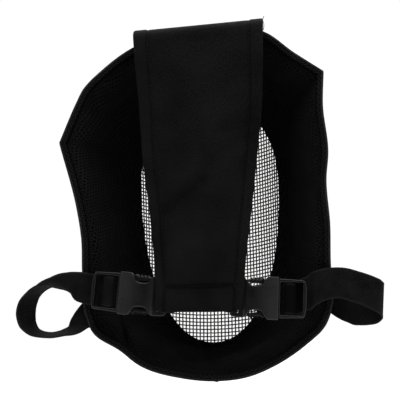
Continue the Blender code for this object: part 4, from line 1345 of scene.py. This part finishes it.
# %% Webbing along a path
STRAP_HALF_THICK = 0.8 * MM
STRAP_CLEAR = 0.9 * MM
TAB_HALF_THICK = 0.7 * MM
WEBBING_WIDTH = 25 * MM
WEBBING_PITCH = 0.45 * MM
WEBBING_EDGE = 0.9 * MM
WEBBING_HIGHLIGHT = 1.0 * MM
WEBBING_SHARES = (0, 0.02, 0.05, 0.085, 0.12, 0.2, 0.35, 0.5, 0.65, 0.8, 0.88, 0.915, 0.95, 0.98, 1)
RIB_PITCH = 1.8 * MM
RIB_HEIGHT = 0.14 * MM
RIB_SHARE_AT_EDGE = 0.35
RIBS_FROM_EDGE = (1.2 * MM, 2.2 * MM)
CORD_HEIGHT = 0.16 * MM
CORD_FROM_EDGE = 0.9 * MM
CORD_HALF = 0.7 * MM
FACE_SUNK = 0.12 * MM


def buckle_axes(side):
    """A buckle's own directions: along it, up it and towards the camera."""
    _, _, _, sign, slope = BUCKLES[side]
    return np.array([(cos(slope) * sign, 0, sin(slope) * sign), (-sin(slope), 0, cos(slope)), (0, -1, 0)])


def in_buckle(side, places):
    """Places in a buckle as points in mask coordinates."""
    return (np.array(BUCKLES[side][:3]) + np.asarray(places, float) @ buckle_axes(side)) * MM


def webbing(name, points, across, half_thick, tail_shade=0):
    """Ribbed webbing along a path, and its length. Its tail inside a frame can get painted shade, and its edges
    get a painted highlight.
    """
    shares = np.array(WEBBING_SHARES) * 2 - 1
    grid = points[:, None] + across[:, None] * shares[:, None] * WEBBING_WIDTH / 2
    run = run_along(points)[:, None]
    from_edge = (1 - np.abs(shares)) * WEBBING_WIDTH / 2
    ribs = RIB_HEIGHT * (np.cos(run * 2 * pi / RIB_PITCH) - 1) / 2
    rib_share = RIB_SHARE_AT_EDGE + (1 - RIB_SHARE_AT_EDGE) * ramp(from_edge, *RIBS_FROM_EDGE)
    cord = CORD_HEIGHT * hump(from_edge - CORD_FROM_EDGE, CORD_HALF)
    face = half_thick + ribs * rib_share + cord - FACE_SUNK
    piece = sheet_piece(name, grid, face * rounded(from_edge, WEBBING_EDGE), ELASTIC)
    mark(piece, PAINTED_LIGHT, np.tile(hump(from_edge, WEBBING_HIGHLIGHT), (2 * len(points), 1)))
    mark(piece, RIM_CELLS_AND_PAINTED_SHADE, np.tile(tail_shade * (1 - ramp(run, *FRAME_SHADE_RUN)), (2, len(shares))))
    return piece, run[-1, 0]


def squared(path, across, ruled=0):
    """Directions across a band of even width. Ruled, they keep their lean, as a band's do that wraps a bend."""
    along = unit(np.gradient(path, axis=0))
    lean = along * np.sum(across * along, -1, keepdims=True)
    return (across - lean * (1 - ruled)) / lengths(across - lean)


def tab_path(side):
    path, _ = smooth_path(in_buckle(side, TAB_PATH), WEBBING_PITCH)
    return path, squared(path, buckle_axes(side)[1])


def strap_path(side):
    """The strap's middle line and the direction across it, from its tail to its seam."""
    ladder = in_buckle(side, np.array(LADDER_PATH) * (1, PULLED_UP[side], 1))
    loop = np.array([row[1:] for row in LOOPS[side]])
    section, start, end = STRAP_SEAMS[side]
    beside = Wall(RIM_NAMES.index(section) + np.array([-0.01, 0, 0.01]))
    shares = np.tile(np.linspace(start, end, 3), (3, 1))
    before, on_wall, after = beside.points(shares)
    normal = unit(np.cross(after - before, beside.inward(shares)[1]))
    normal *= np.sign(normal[:, :1] * BUCKLES[side].side)
    seam = on_wall + normal * (STRAP_CLEAR + STRAP_HALF_THICK)
    path, places = smooth_path(np.concatenate([ladder, loop[:, :3] * MM, seam]), WEBBING_PITCH)
    in_ladder = np.tile(buckle_axes(side)[1], (len(ladder), 1))
    across = between(unit(np.concatenate([in_ladder, loop[:, 3:], before - after])), places)
    ruled = ramp(places, len(ladder) - 4, len(ladder) - 1) * (side == "right")
    return path, squared(path, across, ruled[:, None])


strap_lines = {side: strap_path(side) for side in BUCKLES}
print("points along each strap:", [len(path) for path, _ in strap_lines.values()])

# %% Loop the straps and tabs
for side, line in strap_lines.items():
    strap, length = webbing(f"elastic_strap_{side}", *line, STRAP_HALF_THICK, FRAME_PAINTED_SHADE[side])
    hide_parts(f"strap_{side}")
    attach(strap, "root")
    tab, length = webbing(f"webbing_tab_{side}", *tab_path(side), TAB_HALF_THICK)
    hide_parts(f"flap_tab_{side}")
    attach(tab, "root")
    print(side, "strap", len(strap.data.polygons), "faces; tab", round(length / MM), "mm long")

# %% [markdown]
# ## Side-release buckles
# A buckle has a socket, whose waist leaves the grips bare, and a latch: a frame
# that holds the strap, with two sprung prongs. Moulded plastic has no sharp
# edge. So each half is cut from simple blocks first, then remade from fine even
# voxels and smoothed, which rounds every edge by about half a millimetre, and
# then thinned out to a moderate number of faces. The wide flat faces set the
# shading, so that they stay flat to the eye and the light gathers on the edges.
# Sections are given by where they lie along the buckle, their half height, half
# depth and corner radius, and boxes by their ends, half height, back and front.

# %% Buckle tables
SOCKET = (
    (-0.3, 17.4, 3.8, 0.7), (-2.4, 17.4, 4.3, 0.8), (-5.2, 17.4, 4.8, 0.8), (-8.0, 17.4, 5.2, 0.8),
    (-9.4, 17.0, 5.3, 0.8), (-10.8, 15.2, 5.4, 0.8), (-12.4, 12.2, 5.5, 0.8), (-14.2, 10.4, 5.5, 0.8),
    (-17.5, 9.8, 5.4, 0.8), (-21.5, 9.8, 5.1, 0.8), (-23.6, 10.8, 4.8, 0.8), (-25.4, 13.0, 4.4, 0.8),
    (-27.2, 15.6, 3.8, 0.8), (-29.0, 16.1, 2.8, 0.8), (-34.8, 15.8, 1.9, 0.8), (-38.2, 15.2, 1.6, 0.8),
    (-39.2, 14.2, 1.4, 0.7),
)
FRAME = (
    (0.0, 16.0, 3.2, 0.8), (4.0, 15.9, 3.1, 0.8), (17.5, 15.3, 3.0, 0.8), (19.6, 15.1, 2.9, 0.8),
    (20.6, 14.4, 2.7, 0.8), (21.3, 12.6, 2.5, 0.8), (21.9, 9.4, 2.4, 0.8), (22.2, 5.0, 2.3, 0.8),
)
SOCKET_CAVITY = (-27.0, 2.0, 15.2, -2.9, 2.9)
SOCKET_SLOT = (-36.2, -32.5, 12.6, -8.0, 8.0)
FRAME_WINDOW = (0.8, 19.4, 13.4, -8.0, 8.0)
FRAME_BAR = (7.0, 10.4, 14.0, -2.6, -0.2)
PRONG_GUIDE = (-20.0, 0.4, 2.2, -2.0, 1.0)
PRONG_HALF_THICK = 2.6
PRONG_INSIDE = (
    (0.6, 10.8), (-12.0, 10.8), (-15.0, 11.4), (-21.0, 11.8), (-26.0, 12.6), (-26.2, 13.4), (-25.0, 15.0),
)
PRONG_OUTSIDE = ((-12.4, 16.2), (-11.4, 14.6), (0.6, 14.4))
GRIP = (-24.2, -13.2)
GRIP_SPAN = (-26.2, -12.2)
GRIP_HEIGHT = 16.6
GRIP_INNER_HEIGHT = 10.6
GRIP_SLOPE = 1.8
TEETH = 4
TOOTH_DEPTH = 1.3
TOOTH_CROWN = (0.55, 0.8)
# Painted highlights on rounded edges, fewer on the grip; painted light on a socket's broad end, lightest at the
# joint.
ROUNDED_FROM_TO = (0.06, 0.2)
BROAD_LIGHT_FROM_TO = (-27, -2)
BROAD_SHARE = 0.37
GRIP_SHARE = 0.25
print(len(SOCKET), "sections to a socket and", len(FRAME), "to a frame")

# %% Cut, join and round blocks
VOXEL = 0.36 * MM
SMOOTH_STEPS = 4
KEPT_SHARE = 0.35
CORNER_STEPS = 5


def block_of(name, side, rings):
    """A closed block through rings of places in a buckle."""
    points = in_buckle(side, np.concatenate(rings))
    return face_out(add_piece(name, points, capped(len(rings), len(rings[0])), ACETAL))


def rounded_section(u, half_h, half_d, radius):
    """A rounded rectangle across a buckle."""
    points = []
    for quarter, (h_side, d_side) in enumerate(((1, 1), (-1, 1), (-1, -1), (1, -1))):
        for step in range(CORNER_STEPS):
            turn = radians(90 * (quarter + step / (CORNER_STEPS - 1)))
            h = h_side * (half_h - radius) + radius * cos(turn)
            points.append((u, h, d_side * (half_d - radius) + radius * sin(turn)))
    return points


def box(name, side, u0, u1, half_h, d0, d1):
    corners = ((-half_h, d0), (half_h, d0), (half_h, d1), (-half_h, d1))
    return block_of(name, side, [[(u, h, d) for h, d in corners] for u in (u0, u1)])


def prong(name, side, mirror):
    """One prong. Its grip slopes back towards the front, so that the teeth show there."""
    low, high = GRIP
    pitch = (high - low) / TEETH
    outline = [(u, h, 0) for u, h in PRONG_INSIDE]
    for tooth in range(TEETH):
        start = low + tooth * pitch
        outline.append((start, GRIP_HEIGHT - TOOTH_DEPTH, GRIP_SLOPE))
        outline += [(start + share * pitch, GRIP_HEIGHT, GRIP_SLOPE) for share in TOOTH_CROWN]
    outline += [(u, h, 0) for u, h in PRONG_OUTSIDE]
    back = [(u, h * mirror, -PRONG_HALF_THICK) for u, h, _ in outline]
    front = [(u, (h - slope) * mirror, PRONG_HALF_THICK) for u, h, slope in outline]
    return block_of(name, side, [back, front])


def moulded(name, side, sections, cuts, joined):
    """Cuts and joins blocks, then rounds the result as a mould does. The blocks are used up."""
    body = block_of(name, side, [rounded_section(*section) for section in sections])
    for operation, blocks in (("DIFFERENCE", cuts), ("UNION", joined)):
        for block in blocks:
            step = body.modifiers.new(block.name, "BOOLEAN")
            step.operation, step.object = operation, block
    remade = body.modifiers.new("remade", "REMESH")
    remade.mode, remade.voxel_size, remade.use_smooth_shade = "VOXEL", VOXEL, True
    smoothed = body.modifiers.new("smoothed", "SMOOTH")
    smoothed.factor, smoothed.iterations = 0.5, SMOOTH_STEPS
    body.modifiers.new("thinned", "DECIMATE").ratio = KEPT_SHARE
    body.modifiers.new("shaded", "WEIGHTED_NORMAL").weight = 100
    body.data = made_by_modifiers(body)
    body.modifiers.clear()
    for block in (*cuts, *joined):
        bpy.data.objects.remove(block)
    body.data.materials.clear()
    body.data.materials.append(ACETAL)
    return body


def painted_plastic_light(piece, side, broad_end):
    """How much painted light each vertex gets: painted highlights on all rounded edges, and a socket's broad
    end lighter towards the joint.
    """
    axes = buckle_axes(side)
    corners = np.array([vertex.co for vertex in piece.data.vertices])
    normals = np.array([vertex.normal for vertex in piece.data.vertices])
    edge = ramp(1 - np.abs(normals @ axes.T).max(1), *ROUNDED_FROM_TO)
    u, h = ((corners - seat(in_buckle(side, (0, 0, 0)))) @ axes[:2].T / MM).T
    in_grip = (u > GRIP_SPAN[0]) & (u < GRIP_SPAN[1]) & (np.abs(h) > GRIP_INNER_HEIGHT)
    edge *= np.where(in_grip, GRIP_SHARE, 1)
    return np.maximum(edge, BROAD_SHARE * ramp(u, *BROAD_LIGHT_FROM_TO) * broad_end)


print("voxel", VOXEL / MM, "mm")

# %% Mould the buckles
for side in BUCKLES:
    cuts = [box("cavity", side, *SOCKET_CAVITY), box("slot", side, *SOCKET_SLOT)]
    socket = moulded(f"side_release_socket_{side}", side, SOCKET, cuts, [])
    window = box("frame_window", side, *FRAME_WINDOW)
    bars = [box("bar", side, *FRAME_BAR), box("guide", side, *PRONG_GUIDE)]
    bars += [prong("upper_prong", side, 1), prong("lower_prong", side, -1)]
    latch = moulded(f"side_release_latch_{side}", side, FRAME, [window], bars)
    for piece, node, broad_end in ((socket, "buckle_socket", 1), (latch, "buckle_latch", 0)):
        # Painted light: highlights on every rounded edge, and a lighter broad end on each socket.
        mark(piece, PAINTED_LIGHT, painted_plastic_light(piece, side, broad_end))
        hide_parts(f"{node}_{side}")
        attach(piece, "root")
        print(piece.name, len(piece.data.polygons), "faces")

# %% [markdown]
# ## Stitches
# A seam is a row of short thread loops that sink into the cloth, so every stitch
# is a small capsule in a groove that the cloth already has. A thousand of them
# follow lines on surfaces, so this is work for Geometry Nodes again: lines are
# turned into evenly spaced points, and one capsule is laid along the line at
# each. The thread is drawn a little thicker than the real 0.4 mm, to be seen.

# %% The tree that lays stitches
STITCH = {"Pitch": 3.0 * MM, "Half length": 1.15 * MM, "Thread radius": 0.34 * MM, "Finish": THREAD}
SUNK = 0.12 * MM


def stitch_tree():
    tree, given = new_tree("row_of_stitches", STITCH)
    lines = add(tree, "GeometryNodeMeshToCurve", given["Guide"])
    spots = add(tree, "GeometryNodeCurveToPoints", {"Curve": lines, "Length": given["Pitch"]}, mode="LENGTH")
    turned = add(tree, "FunctionNodeAlignRotationToVector", {"Vector": spots.outputs["Tangent"]}, axis="Z")
    ball = add(tree, "GeometryNodeMeshUVSphere", {"Segments": 6, "Rings": 4, "Radius": 1.0})
    radius = given["Thread radius"]
    shape = add(tree, "CombineXYZ", radius, radius, given["Half length"])
    laid = {"Points": spots, "Instance": ball, "Rotation": turned, "Scale": shape}
    return finish_tree(tree, given, add(tree, "GeometryNodeInstanceOnPoints", laid))


STITCHES = stitch_tree()


def stitches(name, rows):
    """A piece of stitches along rows of points in mask coordinates. A closed row repeats its first point."""
    points, edges = [], []
    for row in rows:
        edges += [(len(points) + k, len(points) + k + 1) for k in range(len(row) - 1)]
        points += list(row)
    mesh = bpy.data.meshes.new(name)
    mesh.from_pydata(seat(points).tolist(), edges, [])
    made = grown(name, new_object(f"{name}_line", mesh), STITCHES, STITCH)
    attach(made, "root")
    return made


def closed(row):
    return np.concatenate([row, row[:1]])


print("one stitch every", STITCH["Pitch"] / MM, "mm")

# %% Sew the shell
CHIN_ROW_SECTIONS = 3

seam_columns = LINING_RIM_MM.index(STITCH_IN_MM), nearest(lining_layer.from_window.mean(0), MARGIN_SEAM_MM * MM)
on_lining = lining_layer.at(lining_inner + SUNK)
lining_stitches = stitches("lining_stitches", [closed(on_lining[:, column]) for column in seam_columns])

rim_column = COVER_RIM_MM.index(STITCH_IN_MM)
band_column = nearest(cover_layer.from_window.mean(0), BAND_SEAM)
in_groove = COVER_GROOVE - SUNK
cover_rows = [closed(cover_layer.at(in_groove)[:, rim_column])]
cover_rows.append(closed(cover_layer.at(in_groove - BAND_THICK)[:, band_column]))
for beside in (-CHIN_ROW_SECTIONS, CHIN_ROW_SECTIONS):
    chin_row = cover_layer.at(-SUNK)[nearest(from_chin, 0) + beside]
    cover_rows.append(chin_row[rim_column + 2:band_column - 1])
cover_stitches = stitches("cover_stitches", cover_rows)
print("stitches:", len(lining_stitches.data.polygons) + len(cover_stitches.data.polygons), "faces")

# %% Sew the flap
SEWN_ROWS = (5.0 * MM, 18.0 * MM)
SEWN_REACH = 0.93
SEWN_POINTS = 60
HEM_POINTS = 40
SIDE_SEAM_STOP = 2.0 * MM

flap_normals = grid_normals(flap_middle)
flap_normals *= -np.sign(flap_normals[len(flap_normals) // 2, 0, 1])


def across_flap(row, shares, stand):
    """Points on a row of the flap at shares across, stand off its middle on the camera's side."""
    columns = np.concatenate([flap_middle[row], flap_normals[row]], 1).T
    found = np.stack([np.interp(shares, flap_across, column) for column in columns], -1)
    return found[..., :3] + unit(found[..., 3:]) * stand


hem_shares = 1 - hem_line[:, 0] / from_side.max(1)
hem_row = nearest(from_end[:, 0], END_HEM)
stand_off = FLAP_HALF_THICK + 0.5 * HEM_RAISE - STITCH_GROOVE + SUNK
flap_rows = []
for stand in (stand_off, -stand_off):
    for edge in (-hem_shares, hem_shares):
        rows = range(nearest(from_end[:, 0], SIDE_SEAM_STOP))
        flap_rows.append([across_flap(row, edge[row], stand) for row in rows])
    reach = hem_shares[hem_row]
    flap_rows.append(across_flap(hem_row, np.linspace(-reach, reach, HEM_POINTS), stand))
for run in SEWN_ROWS:
    sewn_row = nearest(flap_run[:, 0], run)
    flap_rows.append(across_flap(sewn_row, np.linspace(-SEWN_REACH, SEWN_REACH, SEWN_POINTS), stand_off))
flap_stitches = stitches("flap_stitches", flap_rows)
print("flap stitches:", len(flap_stitches.data.polygons), "faces")

# %% Sew the strap ends
SEAM_ENDS = (3.0 * MM, 21.0 * MM)
SEAM_HALF = 9.5 * MM
SEAM_POINTS = 24
RIB_DIP = 0.1 * MM

steps = np.linspace(0, 1, SEAM_POINTS)
swing = SEAM_HALF * (1 - 2 * steps)[:, None]
strap_rows = []
for path, across in strap_lines.values():
    near, far = len(path) - 1 - np.searchsorted(run_along(path[::-1])[1:], SEAM_ENDS)
    outward = unit(np.cross(np.gradient(path, axis=0), across))
    outward *= np.sign(np.sum(outward[near] * (path[near] - WINDOW_CENTRE) * (1, 0, 1)))
    face, over = path + outward * (STRAP_HALF_THICK - RIB_DIP + SUNK), unit(across)
    sewn = np.round(near + (far - near) * steps).astype(int)
    edges = ((sewn, -SEAM_HALF), (sewn, -swing), (sewn, SEAM_HALF), (sewn, swing), (near, swing), (far, swing))
    strap_rows += [face[places] + over[places] * offsets for places, offsets in edges]
strap_stitches = stitches("strap_stitches", strap_rows)
print("strap stitches:", len(strap_stitches.data.polygons), "faces")

# %% [markdown]
# ## Loose thread ends
# The photograph shows two short ends of thread at the rim, one on top beside the
# flap and one low on the right. Each is a thin tube along a small curve.

# %% Leave two thread ends
LOOSE_ENDS = (
    ((60.0, 2.0, 149.0), (60.8, 0.5, 153.5), (60.2, 0.0, 157.5), (61.4, -0.4, 160.2)),
    ((75.0, 5.0, -110.0), (78.2, 4.4, -107.6), (79.7, 4.0, -105.0), (82.4, 3.6, -104.2)),
)
LOOSE_RADIUS = 0.25 * MM
LOOSE_PITCH = 0.6 * MM
LOOSE_SIDES = 6


def tube(points, radius, sides):
    """A closed round tube along points, as vertices and faces."""
    along = unit(np.gradient(points, axis=0))
    side = unit(np.cross(along, (0.3, 0.5, 0.81)))
    turn = (np.arange(sides) * 2 * pi / sides)[:, None]
    ring = np.cos(turn) * side[:, None] + np.sin(turn) * np.cross(along, side)[:, None]
    return (points[:, None] + ring * radius).reshape(-1, 3), capped(len(points), sides)


loose_points, loose_faces = [], []
for knots in LOOSE_ENDS:
    skin, faces = tube(smooth_path(np.array(knots) * MM, LOOSE_PITCH)[0], LOOSE_RADIUS, LOOSE_SIDES)
    loose_faces += [[index + len(loose_points) for index in face] for face in faces]
    loose_points += skin.tolist()
loose_threads = face_out(add_piece("loose_thread_ends", loose_points, loose_faces, THREAD))
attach(loose_threads, "root")
print("loose ends:", len(LOOSE_ENDS))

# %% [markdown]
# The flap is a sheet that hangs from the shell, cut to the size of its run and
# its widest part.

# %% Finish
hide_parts("head_flap")
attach(flap, "root")
